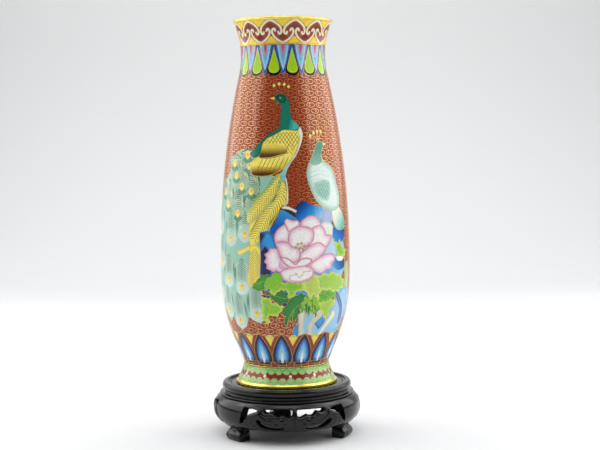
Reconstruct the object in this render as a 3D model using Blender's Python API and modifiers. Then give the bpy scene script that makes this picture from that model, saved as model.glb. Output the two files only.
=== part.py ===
"""Cloisonne vase on a three-legged carved stand.

The vase is a raised copper body under flush enamel, with gilt rings at its mouth, neck, ankle
and foot and counter enamel inside. It stands loose in the recess of a lacquered wooden stand
made of a top ring, a seat panel, a waist ring, three legs, three pierced aprons and pegs.

Metres, +Z up, front towards -Y. The origin is on the surface, under the vase's axis.
Angles around the object are counted from the front towards +X.
"""

import math

import bmesh
import bpy
from mathutils import Matrix

# Gap left between two pieces that touch
CLEAR = 0.0003
# Steps round a turned piece, and round a peg
SEGMENTS = 36
PEG_SIDES = 12

# Vase outline: its stretches from the foot up
FOOT_HEIGHT = 0.0170
LOWER_BODY_HEIGHT = 0.0900
UPPER_BODY_HEIGHT = 0.1700
FLARE_HEIGHT = 0.0280
# Vase outline: its radii, to the outside of the enamel
ANKLE_RADIUS = 0.0361
FOOT_SPREAD = 0.0067
BELLY_RADIUS = 0.0547
NECK_RADIUS = 0.03535
MOUTH_SPREAD = 0.00665
# Share of the way from belly to neck where the body's curve turns into the neck's
TURN_SHARE = 0.8975

# Vase skins and sheet
ENAMEL = 0.0010
COPPER = 0.0010
LINING = 0.0004
# Gilt rings and wires
RIM_HEIGHT = 0.0024
FOOT_RIM_HEIGHT = 0.0025
WIRE_HEIGHT = 0.0008
PROUD = 0.00015
# Height of the heart border, from the neck wire to the mouth
BORDER_HEIGHT = 0.0220

# Stand: heights of its stack, from the surface up
LEG_HEIGHT = 0.0347
WAIST_HEIGHT = 0.0032
BEAD_HEIGHT = 0.0013
RING_HEIGHT = 0.0067
LEDGE_HEIGHT = 0.0012
SEAT_THICKNESS = 0.0040
# Stand: radial sizes, outwards from the vase's foot
RECESS_PLAY = 0.0050
SEAT_LEDGE = 0.0043
RING_WALL = 0.0072
RING_LIP = 0.0022
LIP_DEPTH = 0.0010
WAIST_INSET = 0.0025
BEAD_SPREAD = 0.0045
WAIST_WALL = 0.0113
FRAME_BULGE = 0.0055
# Legs
LEG_TURN = 6.0
LEG_COUNT = 3
ANKLE_RISE = 0.0095
TOE_SPREAD = 0.0038
SHOULDER_HALF_WIDTH = 0.0190
ANKLE_HALF_WIDTH = 0.0090
TOE_WIDENING = 0.0015
SHOULDER_WALL = 0.0100
ANKLE_WALL = 0.0083
# Aprons
APRON_RISE = 0.0117
APRON_WALL = 0.0060
TOP_RAIL = 0.0042
BOTTOM_RAIL = 0.0023
# Pegs
DOWEL_RADIUS = 0.0015
DOWEL_IN_LEG = 0.0047
DOWEL_IN_WAIST = 0.0020
RING_PEG_RADIUS = 0.0012
RING_PEG_IN_WAIST = 0.0022
RING_PEG_IN_RING = 0.0025
APRON_PEG_RADIUS = 0.0009
APRON_PEG_LENGTH = 0.0080

# Places that follow from the sizes above
NECK_WIRE_AT = (
    FOOT_HEIGHT + LOWER_BODY_HEIGHT + UPPER_BODY_HEIGHT + FLARE_HEIGHT - BORDER_HEIGHT
)
BELLY_AT = FOOT_HEIGHT + LOWER_BODY_HEIGHT
NECK_AT = BELLY_AT + UPPER_BODY_HEIGHT
MOUTH_AT = NECK_AT + FLARE_HEIGHT
WAIST_AT = LEG_HEIGHT + CLEAR
RING_AT = WAIST_AT + WAIST_HEIGHT + CLEAR
LEDGE_AT = RING_AT + LEDGE_HEIGHT
SEAT_TOP = LEDGE_AT + CLEAR + SEAT_THICKNESS
VASE_AT = SEAT_TOP + CLEAR
RECESS_RADIUS = ANKLE_RADIUS + FOOT_SPREAD + RECESS_PLAY
RING_RADIUS = RECESS_RADIUS + RING_WALL
WAIST_RADIUS = RING_RADIUS - WAIST_INSET
BEAD_RADIUS = WAIST_RADIUS + BEAD_SPREAD
PEG_CIRCLE = WAIST_RADIUS - 0.3 * RING_WALL
SECTOR = 2 * math.pi / LEG_COUNT

# Colour, roughness and metallic value of each kind of material
GILT = ((0.83, 0.60, 0.20), 0.25, 1.0)
BARE_COPPER = ((0.75, 0.36, 0.22), 0.40, 1.0)
TERRACOTTA = ((0.40, 0.09, 0.04), 0.15, 0.0)
BORDER_RED = ((0.35, 0.07, 0.05), 0.15, 0.0)
FOOT_GREEN = ((0.38, 0.62, 0.33), 0.15, 0.0)
COUNTER_BLUE = ((0.10, 0.42, 0.62), 0.20, 0.0)
BLACK_LACQUER = ((0.010, 0.009, 0.009), 0.22, 0.0)
PEG_WOOD = ((0.30, 0.18, 0.09), 0.65, 0.0)


# Scene and objects


def clear_scene():
    for obj in list(bpy.data.objects):
        bpy.data.objects.remove(obj, do_unlink=True)


def new_collection(name):
    collection = bpy.data.collections.new(name)
    bpy.context.scene.collection.children.link(collection)
    return collection


def painted(name, look):
    colour, roughness, metallic = look
    material = bpy.data.materials.new(name)
    material.use_nodes = True
    shader = material.node_tree.nodes["Principled BSDF"]
    shader.inputs["Base Color"].default_value = (*colour, 1.0)
    shader.inputs["Roughness"].default_value = roughness
    shader.inputs["Metallic"].default_value = metallic
    material.diffuse_color = (*colour, 1.0)
    return material


def add_piece(name, mesh, look, parent):
    """Put a mesh in the scene as a part, with a material of its own."""
    if not mesh.materials:
        mesh.materials.append(painted(name + "_finish", look))
    obj = bpy.data.objects.new(name, mesh)
    parts.objects.link(obj)
    obj.parent = parent
    return obj


def add_cutter(name, mesh):
    obj = bpy.data.objects.new(name, mesh)
    cutters.objects.link(obj)
    obj.hide_render = True
    obj.display_type = "WIRE"
    return obj


def add_empty(name, height, angle=0.0):
    empty = bpy.data.objects.new(name, None)
    parts.objects.link(empty)
    empty.location.z = height
    empty.rotation_euler.z = angle
    return empty


def cut(obj, cutter):
    boolean = obj.modifiers.new("cut_" + cutter.name, "BOOLEAN")
    boolean.operation = "DIFFERENCE"
    boolean.object = cutter


def settled_mesh(obj):
    """The object's mesh with its modifiers applied; the object itself is removed."""
    bpy.context.view_layer.update()
    graph = bpy.context.evaluated_depsgraph_get()
    mesh = bpy.data.meshes.new_from_object(obj.evaluated_get(graph))
    mesh.name = obj.name
    bpy.data.objects.remove(obj, do_unlink=True)
    mesh.set_sharp_from_angle(angle=math.radians(35))
    return mesh


# Shapes


def turned(name, outline, look, parent, closed=True):
    """Turn an outline of (radius, height) points, outer side first and running down."""
    mesh = bpy.data.meshes.new(name)
    count = len(outline)
    edges = [(i, (i + 1) % count) for i in range(count if closed else count - 1)]
    mesh.from_pydata([(radius, 0, height) for radius, height in outline], edges, [])
    obj = add_piece(name, mesh, look, parent)
    screw = obj.modifiers.new("turn", "SCREW")
    screw.steps = SEGMENTS
    screw.render_steps = SEGMENTS
    screw.use_smooth_shade = True
    screw.use_merge_vertices = True
    screw.merge_threshold = 0.00001
    return obj


def polar(radius, angle, height):
    return (radius * math.sin(angle), -radius * math.cos(angle), height)


def lofted(name, sections):
    """A solid skinned over closed sections that all have the same number of points."""
    count = len(sections[0])
    points = [point for section in sections for point in section]
    faces = [tuple(reversed(range(count)))]
    for level in range(len(sections) - 1):
        low = level * count
        for i in range(count):
            j = (i + 1) % count
            faces.append((low + i, low + j, low + count + j, low + count + i))
    faces.append(tuple(range(len(points) - count, len(points))))
    mesh = bpy.data.meshes.new(name)
    mesh.from_pydata(points, [], faces)
    shape = bmesh.new()
    shape.from_mesh(mesh)
    bmesh.ops.recalc_face_normals(shape, faces=shape.faces)
    shape.to_mesh(mesh)
    shape.free()
    return mesh


def wall_section(height, outer, inner, half_angle, steps):
    """One level of a curved wall: its outer arc one way, then its inner arc back."""
    angles = [half_angle * (2 * i / steps - 1) for i in range(steps + 1)]
    section = [polar(outer, angle, height) for angle in angles]
    return section + [polar(inner, angle, height) for angle in reversed(angles)]


def upright_peg(name, radius, low, high):
    """A cylinder mesh along Z, from height low to height high."""
    shape = bmesh.new()
    middle = Matrix.Translation((0, 0, (low + high) / 2))
    bmesh.ops.create_cone(
        shape,
        cap_ends=True,
        segments=PEG_SIDES,
        radius1=radius,
        radius2=radius,
        depth=high - low,
        matrix=middle,
    )
    mesh = bpy.data.meshes.new(name)
    shape.to_mesh(mesh)
    shape.free()
    return mesh


# Vase


def vase_radius(height):
    """Outside radius of the enamel at a height above the foot's rim."""
    belly_to_neck = NECK_RADIUS - BELLY_RADIUS
    turn_at = BELLY_AT + TURN_SHARE * UPPER_BODY_HEIGHT
    turn_radius = BELLY_RADIUS + TURN_SHARE * belly_to_neck
    if height >= NECK_AT:
        return NECK_RADIUS + MOUTH_SPREAD * ((height - NECK_AT) / FLARE_HEIGHT) ** 2
    if height >= turn_at:
        fall = (NECK_AT - height) / (NECK_AT - turn_at)
        return NECK_RADIUS + (turn_radius - NECK_RADIUS) * fall**2
    if height >= BELLY_AT:
        rise = (height - BELLY_AT) / (turn_at - BELLY_AT)
        return BELLY_RADIUS - (BELLY_RADIUS - turn_radius) * rise**2
    if height >= FOOT_HEIGHT:
        rise = (height - FOOT_HEIGHT) / LOWER_BODY_HEIGHT
        swell = (1 - (1 - rise) ** 3) ** 1.38
        return ANKLE_RADIUS + (BELLY_RADIUS - ANKLE_RADIUS) * swell
    return ANKLE_RADIUS + FOOT_SPREAD * ((FOOT_HEIGHT - height) / FOOT_HEIGHT) ** 1.3


def stations(low, high):
    """Heights from low to high at which every shell has a ring of points."""
    stretches = [
        (0.0, FOOT_HEIGHT, 3),
        (FOOT_HEIGHT, BELLY_AT, 7),
        (BELLY_AT, NECK_AT, 7),
        (NECK_AT, MOUTH_AT, 4),
    ]
    rings = [
        bottom + (top - bottom) * step / steps
        for bottom, top, steps in stretches
        for step in range(steps)
    ]
    near = 2 * CLEAR
    return [low] + [ring for ring in rings if low + near < ring < high - near] + [high]


def side(low, high, depth):
    """Points that run up the vase at a depth under the enamel's surface."""
    return [(vase_radius(height) - depth, height) for height in stations(low, high)]


def shell(name, low, high, depth, thickness, look, parent):
    outer = side(low, high, depth)
    inner = side(low, high, depth + thickness)
    return turned(name, outer[::-1] + inner, look, parent)


def wire(name, height, parent):
    """A gilt wire round the vase, on the copper and a little proud of the enamel."""
    low = height - WIRE_HEIGHT / 2
    high = height + WIRE_HEIGHT / 2
    outside = vase_radius(height) + PROUD
    inside = vase_radius(height) - ENAMEL
    outline = [(outside, high), (outside, low), (inside, low), (inside, high)]
    return turned(name, outline, GILT, parent)


def build_copper(parent):
    """The raised sheets, which meet at the ankle, the belly and the neck wire."""
    sheet = (ENAMEL + CLEAR, COPPER)
    half_gap = CLEAR / 2
    base_low = FOOT_HEIGHT - COPPER / 2
    base_high = FOOT_HEIGHT + COPPER / 2
    rim_low = MOUTH_AT - RIM_HEIGHT
    joints = [
        ("foot_copper", FOOT_RIM_HEIGHT + CLEAR, base_low - CLEAR),
        ("lower_body_copper", base_high + CLEAR, BELLY_AT - half_gap),
        ("upper_body_copper", BELLY_AT + half_gap, NECK_WIRE_AT - half_gap),
        ("neck_copper", NECK_WIRE_AT + half_gap, rim_low - CLEAR),
    ]
    for name, low, high in joints:
        shell(name, low, high, *sheet, BARE_COPPER, parent)
    radius = ANKLE_RADIUS - ENAMEL - CLEAR
    disc = [(0, base_high), (radius, base_high), (radius, base_low), (0, base_low)]
    turned("base_copper", disc, BARE_COPPER, parent, closed=False)


def build_enamel(parent):
    above = WIRE_HEIGHT / 2 + CLEAR
    rim_low = MOUTH_AT - RIM_HEIGHT
    bands = [
        ("enamel_foot", FOOT_RIM_HEIGHT + CLEAR, FOOT_HEIGHT - above, FOOT_GREEN),
        ("enamel_body", FOOT_HEIGHT + above, NECK_WIRE_AT - above, TERRACOTTA),
        ("enamel_neck", NECK_WIRE_AT + above, rim_low - CLEAR, BORDER_RED),
    ]
    for name, low, high, look in bands:
        shell(name, low, high, 0.0, ENAMEL, look, parent)


def build_counter_enamel(parent):
    """The lining inside, open at the mouth, and the disc under the base."""
    depth = ENAMEL + CLEAR + COPPER + CLEAR
    floor = FOOT_HEIGHT + COPPER / 2 + CLEAR
    top = MOUTH_AT - RIM_HEIGHT - CLEAR
    inner = side(floor + LINING, top, depth + LINING)
    outer = side(floor, top, depth)
    outline = [(0, floor + LINING)] + inner + outer[::-1] + [(0, floor)]
    turned("counter_enamel_lining", outline, COUNTER_BLUE, parent, closed=False)
    under = FOOT_HEIGHT - COPPER / 2 - CLEAR
    radius = ANKLE_RADIUS - depth
    disc = [(0, under), (radius, under), (radius, under - LINING), (0, under - LINING)]
    turned("base_enamel", disc, COUNTER_BLUE, parent, closed=False)


def build_gilt(parent):
    """The rings at the mouth and the foot, which close the stack of skins, and the wires."""
    wall = ENAMEL + CLEAR + COPPER + CLEAR + LINING
    low = MOUTH_AT - RIM_HEIGHT
    middle = MOUTH_AT - RIM_HEIGHT / 3
    top_radius = vase_radius(MOUTH_AT) + PROUD
    mouth = [
        (top_radius - wall / 4, MOUTH_AT),
        (top_radius, middle),
        (vase_radius(low) + PROUD, low),
        (vase_radius(low) - wall - PROUD, low),
        (top_radius - wall - PROUD, middle),
        (top_radius - wall * 3 / 4, MOUTH_AT),
    ]
    turned("mouth_rim", mouth, GILT, parent)
    foot_radius = ANKLE_RADIUS + FOOT_SPREAD
    foot = [
        (vase_radius(FOOT_RIM_HEIGHT) + PROUD, FOOT_RIM_HEIGHT),
        (foot_radius + PROUD, FOOT_RIM_HEIGHT * 0.7),
        (foot_radius + PROUD, FOOT_RIM_HEIGHT * 0.2),
        (foot_radius - PROUD, 0.0),
        (foot_radius - wall, 0.0),
        (foot_radius - wall - PROUD, FOOT_RIM_HEIGHT * 0.2),
        (vase_radius(FOOT_RIM_HEIGHT) - wall - PROUD, FOOT_RIM_HEIGHT),
    ]
    turned("foot_rim", foot, GILT, parent)
    wire("neck_wire", NECK_WIRE_AT, parent)
    wire("ankle_wire", FOOT_HEIGHT, parent)


# Stand


def frame_radius(height):
    """Outside radius of the legs and aprons above the ankle: a bowed barrel."""
    share = (height - ANKLE_RISE) / (LEG_HEIGHT - ANKLE_RISE)
    reach = 0.4 if share > 0.6 else 0.5
    swell = 1 - (abs(share - 0.6) / reach) ** 2.5
    return BEAD_RADIUS - CLEAR + FRAME_BULGE * swell


def leg_half_width(height):
    share = (height - ANKLE_RISE) / (LEG_HEIGHT - ANKLE_RISE)
    widening = 1 - (1 - share) ** 2.2
    return ANKLE_HALF_WIDTH + (SHOULDER_HALF_WIDTH - ANKLE_HALF_WIDTH) * widening


def leg_half_angle(height):
    return leg_half_width(height) / frame_radius(height)


def frame_levels(low, count):
    """Heights from low to the top of the frame, closer together near the top."""
    return [LEG_HEIGHT - (LEG_HEIGHT - low) * (1 - i / count) ** 1.25 for i in range(count + 1)]


def leg_mesh():
    """A leg at the front: a scroll foot below the ankle, the bowed shoulder above it."""
    steps = 6
    sections = []
    ankle_radius = frame_radius(ANKLE_RISE)
    for i in range(5):
        height = ANKLE_RISE * i / 5
        bump = math.sin(math.pi * 0.85 * (1 - height / ANKLE_RISE))
        outer = ankle_radius + TOE_SPREAD * bump
        half = (ANKLE_HALF_WIDTH + TOE_WIDENING * bump) / outer
        inner = ankle_radius - ANKLE_WALL
        sections.append(wall_section(height, outer, inner, half, steps))
    for height in [ANKLE_RISE] + frame_levels(APRON_RISE, 8):
        outer = frame_radius(height)
        share = (height - ANKLE_RISE) / (LEG_HEIGHT - ANKLE_RISE)
        wall = ANKLE_WALL + (SHOULDER_WALL - ANKLE_WALL) * share
        half = leg_half_angle(height)
        sections.append(wall_section(height, outer, outer - wall, half, steps))
    return lofted("leg", sections)


def apron_half_angle(height):
    """Where an apron ends at this height: at the leg's side, less the gap."""
    inner = frame_radius(height) - SHOULDER_WALL
    return SECTOR / 2 - leg_half_angle(height) - CLEAR / inner


def pierced(name, outline, hand):
    """A cutter through the apron wall, from an outline of shares across and up the openwork."""
    low = APRON_RISE + BOTTOM_RAIL
    high = LEG_HEIGHT - TOP_RAIL
    heights = [low + (high - low) * up for _, up in outline]
    angles = [
        hand * across * apron_half_angle(height)
        for (across, _), height in zip(outline, heights)
    ]
    inside = frame_radius(APRON_RISE) - 2 * APRON_WALL
    outside = BEAD_RADIUS + 2 * FRAME_BULGE
    sections = [
        [polar(radius, angle, height) for angle, height in zip(angles, heights)]
        for radius in (inside, outside)
    ]
    return add_cutter(name, lofted(name, sections))


def tangent_peg(name, radius, length, angle):
    """A peg mesh that lies along the tangent at an angle, in the middle of the top rail."""
    height = LEG_HEIGHT - TOP_RAIL / 2
    reach = frame_radius(height) - APRON_WALL / 2
    mesh = upright_peg(name, radius, -length / 2, length / 2)
    along = Matrix.Rotation(math.radians(90), 4, "Y")
    mesh.transform(Matrix.Rotation(angle, 4, "Z") @ Matrix.Translation((0, -reach, height)) @ along)
    return mesh


def apron_peg_angle():
    return apron_half_angle(LEG_HEIGHT - TOP_RAIL / 2)


def apron_mesh():
    """An apron at the front, with its six openings and a peg hole in each end."""
    steps = 16
    sections = []
    for height in frame_levels(APRON_RISE, 8):
        outer = frame_radius(height)
        half = apron_half_angle(height)
        sections.append(wall_section(height, outer, outer - APRON_WALL, half, steps))
    apron = add_piece("apron", lofted("apron", sections), BLACK_LACQUER, None)
    # Each opening beside its mirror image: at the leg, over the tendrils and below them
    end_notch = [
        (1.2, 1.0),
        (0.74, 0.98),
        (0.72, 0.86),
        (0.80, 0.76),
        (0.88, 0.68),
        (0.91, 0.50),
        (0.93, 0.32),
        (0.97, 0.24),
        (1.2, 0.24),
    ]
    upper_gap = [
        (0.57, 1.0),
        (0.04, 0.98),
        (0.05, 0.66),
        (0.14, 0.64),
        (0.22, 0.74),
        (0.31, 0.70),
        (0.38, 0.76),
        (0.44, 0.88),
        (0.56, 0.84),
    ]
    lower_slot = [
        (0.20, 0.00),
        (0.35, -0.02),
        (0.50, 0.06),
        (0.62, 0.26),
        (0.67, 0.46),
        (0.58, 0.34),
        (0.47, 0.22),
        (0.34, 0.15),
        (0.23, 0.13),
    ]
    openings = {"end_notch": end_notch, "upper_gap": upper_gap, "lower_slot": lower_slot}
    holes = []
    for hand, word in ((1, "right"), (-1, "left")):
        for label, outline in openings.items():
            holes.append(pierced(f"{label}_{word}", outline, hand))
        hole = tangent_peg(
            f"peg_hole_{word}",
            APRON_PEG_RADIUS + CLEAR,
            APRON_PEG_LENGTH + 2 * CLEAR,
            hand * apron_peg_angle(),
        )
        holes.append(add_cutter(f"peg_hole_{word}", hole))
    for hole in holes:
        cut(apron, hole)
    return settled_mesh(apron)


def bored_leg_mesh():
    """The leg with a dowel hole in its top and a peg hole in each side."""
    leg = add_piece("leg", leg_mesh(), BLACK_LACQUER, None)
    depth = DOWEL_IN_LEG + CLEAR
    bore = upright_peg("dowel_bore", DOWEL_RADIUS + CLEAR, LEG_HEIGHT - depth, RING_AT)
    bore.transform(Matrix.Translation((0, -PEG_CIRCLE, 0)))
    holes = [add_cutter("dowel_bore", bore)]
    for hand, word in ((1, "right"), (-1, "left")):
        hole = tangent_peg(
            f"leg_peg_hole_{word}",
            APRON_PEG_RADIUS + CLEAR,
            APRON_PEG_LENGTH + 2 * CLEAR,
            hand * (SECTOR / 2 - apron_peg_angle()),
        )
        holes.append(add_cutter(f"leg_peg_hole_{word}", hole))
    for hole in holes:
        cut(leg, hole)
    return settled_mesh(leg)


def build_frame(parent):
    """Legs, aprons and the pegs between them, each made once and set round the stand."""
    leg = bored_leg_mesh()
    apron = apron_mesh()
    dowel = upright_peg(
        "leg_dowel", DOWEL_RADIUS, LEG_HEIGHT - DOWEL_IN_LEG, WAIST_AT + DOWEL_IN_WAIST
    )
    dowel.transform(Matrix.Translation((0, -PEG_CIRCLE, 0)))
    pegs = {
        hand: tangent_peg("apron_peg", APRON_PEG_RADIUS, APRON_PEG_LENGTH, hand * apron_peg_angle())
        for hand in (-1, 1)
    }
    for number in range(LEG_COUNT):
        at_leg = math.radians(LEG_TURN) + SECTOR * (number - 0.5)
        at_apron = at_leg + SECTOR / 2
        placed = [
            (f"leg_{number + 1}", leg, BLACK_LACQUER, at_leg),
            (f"leg_dowel_{number + 1}", dowel, PEG_WOOD, at_leg),
            (f"apron_{number + 1}", apron, BLACK_LACQUER, at_apron),
            (f"apron_peg_{2 * number + 1}", pegs[-1], PEG_WOOD, at_apron),
            (f"apron_peg_{2 * number + 2}", pegs[1], PEG_WOOD, at_apron),
        ]
        for name, mesh, look, angle in placed:
            add_piece(name, mesh, look, parent).rotation_euler.z = angle


def build_rings(parent):
    """The waist ring, the top ring around the recess, and the board that lies in it."""
    bead_top = WAIST_AT + BEAD_HEIGHT
    waist_top = WAIST_AT + WAIST_HEIGHT
    waist = [
        (WAIST_RADIUS, waist_top),
        (WAIST_RADIUS, bead_top + BEAD_HEIGHT / 4),
        (BEAD_RADIUS - BEAD_SPREAD / 8, bead_top),
        (BEAD_RADIUS, bead_top - BEAD_HEIGHT / 2),
        (BEAD_RADIUS - BEAD_SPREAD / 16, WAIST_AT),
        (WAIST_RADIUS - WAIST_WALL, WAIST_AT),
        (WAIST_RADIUS - WAIST_WALL, waist_top),
    ]
    waist_ring = turned("stand_waist_ring", waist, BLACK_LACQUER, parent)
    ring_top = RING_AT + RING_HEIGHT
    rounding = RING_HEIGHT / 2
    swell = [
        (
            RING_RADIUS - WAIST_INSET * (1 - math.cos(math.radians(tilt))),
            RING_AT + rounding * (1 + math.sin(math.radians(tilt))),
        )
        for tilt in (75, 45, 15, -15, -45, -75)
    ]
    lip_radius = RECESS_RADIUS + RING_LIP
    ring = [
        (lip_radius, ring_top),
        *swell,
        (WAIST_RADIUS, RING_AT),
        (RECESS_RADIUS - SEAT_LEDGE, RING_AT),
        (RECESS_RADIUS - SEAT_LEDGE, LEDGE_AT),
        (RECESS_RADIUS, LEDGE_AT),
        (RECESS_RADIUS, ring_top - LIP_DEPTH),
        (lip_radius, ring_top - LIP_DEPTH),
    ]
    top_ring = turned("stand_top_ring", ring, BLACK_LACQUER, parent)
    seat_radius = RECESS_RADIUS - CLEAR
    seat_low = SEAT_TOP - SEAT_THICKNESS
    seat = [(0, SEAT_TOP), (seat_radius, SEAT_TOP), (seat_radius, seat_low), (0, seat_low)]
    turned("stand_seat_panel", seat, BLACK_LACQUER, parent, closed=False)
    return waist_ring, top_ring


def build_ring_pegs(waist_ring, top_ring, parent):
    """Pegs between the two rings over the aprons, and every hole bored in the rings."""
    peg_low = WAIST_AT + WAIST_HEIGHT - RING_PEG_IN_WAIST
    peg_high = RING_AT + RING_PEG_IN_RING
    peg = upright_peg("ring_peg", RING_PEG_RADIUS, peg_low, peg_high)
    bore = upright_peg("ring_bore", RING_PEG_RADIUS + CLEAR, peg_low - CLEAR, peg_high + CLEAR)
    dowel_high = WAIST_AT + DOWEL_IN_WAIST + CLEAR
    dowel_bore = upright_peg("waist_bore", DOWEL_RADIUS + CLEAR, 0.0, dowel_high)
    for mesh in (peg, bore, dowel_bore):
        mesh.transform(Matrix.Translation((0, -PEG_CIRCLE, 0)))
    for number in range(LEG_COUNT):
        at_leg = math.radians(LEG_TURN) + SECTOR * (number - 0.5)
        at_apron = at_leg + SECTOR / 2
        placed = add_piece(f"ring_peg_{number + 1}", peg, PEG_WOOD, parent)
        placed.rotation_euler.z = at_apron
        peg_hole = add_cutter(f"ring_bore_{number + 1}", bore)
        peg_hole.rotation_euler.z = at_apron
        dowel_hole = add_cutter(f"waist_bore_{number + 1}", dowel_bore)
        dowel_hole.rotation_euler.z = at_leg
        cut(waist_ring, peg_hole)
        cut(waist_ring, dowel_hole)
        cut(top_ring, peg_hole)


# Whole object

clear_scene()
parts = new_collection("cloisonne_vase")
cutters = new_collection("cutters")

vase = add_empty("vase_lift_axis", VASE_AT)
build_copper(vase)
build_enamel(vase)
build_counter_enamel(vase)
build_gilt(vase)

stand = add_empty("stand_axis", 0.0)
build_frame(stand)
rings = build_rings(stand)
build_ring_pegs(*rings, stand)
bpy.context.view_layer.update()
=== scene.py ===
"""Cloisonne vase on its carved three-legged stand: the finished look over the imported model.

Metres, +Z up, front towards -Y, as in the frame. Angles round the object are degrees from the
front towards +X. Sizes are millimetres; heights on the vase are counted from its foot rim.
"""

import math

import bpy
import numpy as np
from mathutils import Matrix, Vector
from mathutils.geometry import delaunay_2d_cdt


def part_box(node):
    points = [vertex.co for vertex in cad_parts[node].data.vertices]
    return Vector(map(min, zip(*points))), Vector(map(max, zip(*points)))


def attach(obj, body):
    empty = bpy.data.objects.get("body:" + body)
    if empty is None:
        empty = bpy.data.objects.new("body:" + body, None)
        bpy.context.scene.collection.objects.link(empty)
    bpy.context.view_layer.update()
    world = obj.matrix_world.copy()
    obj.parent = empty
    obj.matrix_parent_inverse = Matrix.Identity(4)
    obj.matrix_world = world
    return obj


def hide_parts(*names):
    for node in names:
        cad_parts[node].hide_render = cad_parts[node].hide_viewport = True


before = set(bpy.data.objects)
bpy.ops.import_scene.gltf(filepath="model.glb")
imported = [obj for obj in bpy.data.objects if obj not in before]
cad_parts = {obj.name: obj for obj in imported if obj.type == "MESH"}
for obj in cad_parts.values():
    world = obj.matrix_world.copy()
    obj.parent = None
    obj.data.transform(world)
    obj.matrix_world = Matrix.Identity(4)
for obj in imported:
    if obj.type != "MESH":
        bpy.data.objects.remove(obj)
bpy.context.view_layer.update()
MM = 0.001

# ---------------------------------------------------------------------------------------------
# Copper body. Sheet copper raised over stakes in two bowls, a neck band, a foot ring and a base,
# brazed edge to edge. It is covered by enamel on both sides, so only its joints ever show.

# Neighbouring pieces stand two half gaps apart, and the gilt rings stand proud of the enamel
HALF_GAP = 0.15
PROUD = 0.15
# Heights up the vase's outline, from its foot rim
FOOT_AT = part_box("foot_rim")[0].z / MM
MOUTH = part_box("mouth_rim")[1].z / MM - FOOT_AT
ANKLE = (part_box("ankle_wire")[0].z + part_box("ankle_wire")[1].z) / 2 / MM - FOOT_AT
NECK_BAND = (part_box("neck_wire")[0].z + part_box("neck_wire")[1].z) / 2 / MM - FOOT_AT
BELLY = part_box("upper_body_copper")[0].z / MM - FOOT_AT - HALF_GAP
FLARE = 28.0
RIM_OVER_EDGE = 2.7
NARROWEST = MOUTH - FLARE
# Share of the way from belly to neck where the body's curve turns into the neck's
TURN_SHARE = 0.8975
# Radii of the outline, to the outside of the enamel
BELLY_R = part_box("enamel_body")[1].x / MM
NARROWEST_R = 35.35
MOUTH_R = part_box("mouth_rim")[1].x / MM - PROUD
ANKLE_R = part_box("ankle_wire")[1].x / MM - PROUD
FOOT_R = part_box("foot_rim")[1].x / MM - PROUD
ENAMEL = 1.0


def vase_radius(height):
    """Enamel radius: a power-law foot, a swelling bowl, and parabolas up the body and the lip."""
    turn = BELLY + TURN_SHARE * (NARROWEST - BELLY)
    turn_r = BELLY_R + TURN_SHARE * (NARROWEST_R - BELLY_R)
    foot = ANKLE_R + (FOOT_R - ANKLE_R) * np.clip(1 - height / ANKLE, 0, 1) ** 1.3
    rise = np.clip((height - ANKLE) / (BELLY - ANKLE), 0, 1)
    bowl = ANKLE_R + (BELLY_R - ANKLE_R) * (1 - (1 - rise) ** 3) ** 1.38
    body = BELLY_R - (BELLY_R - turn_r) * ((height - BELLY) / (turn - BELLY)) ** 2
    throat = NARROWEST_R + (turn_r - NARROWEST_R) * ((NARROWEST - height) / (NARROWEST - turn)) ** 2
    lip = NARROWEST_R + (MOUTH_R - NARROWEST_R) * ((height - NARROWEST) / (MOUTH - NARROWEST)) ** 2
    stretches = [height < ANKLE, height < BELLY, height < turn, height < NARROWEST]
    return np.select(stretches, [foot, bowl, body, throat], lip)


def srgb(red, green, blue):
    """A colour given as screen values from 0 to 255, as the linear values that shaders take."""
    value = np.array([red, green, blue]) / 255
    return tuple(np.where(value < 0.04045, value / 12.92, ((value + 0.055) / 1.055) ** 2.4))


def add_node(tree, kind, values=None):
    """A shader node of a kind, with constants on the inputs that are named."""
    node = tree.nodes.new("ShaderNode" + kind)
    for socket, value in (values or {}).items():
        node.inputs[socket].default_value = value
    return node


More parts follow.
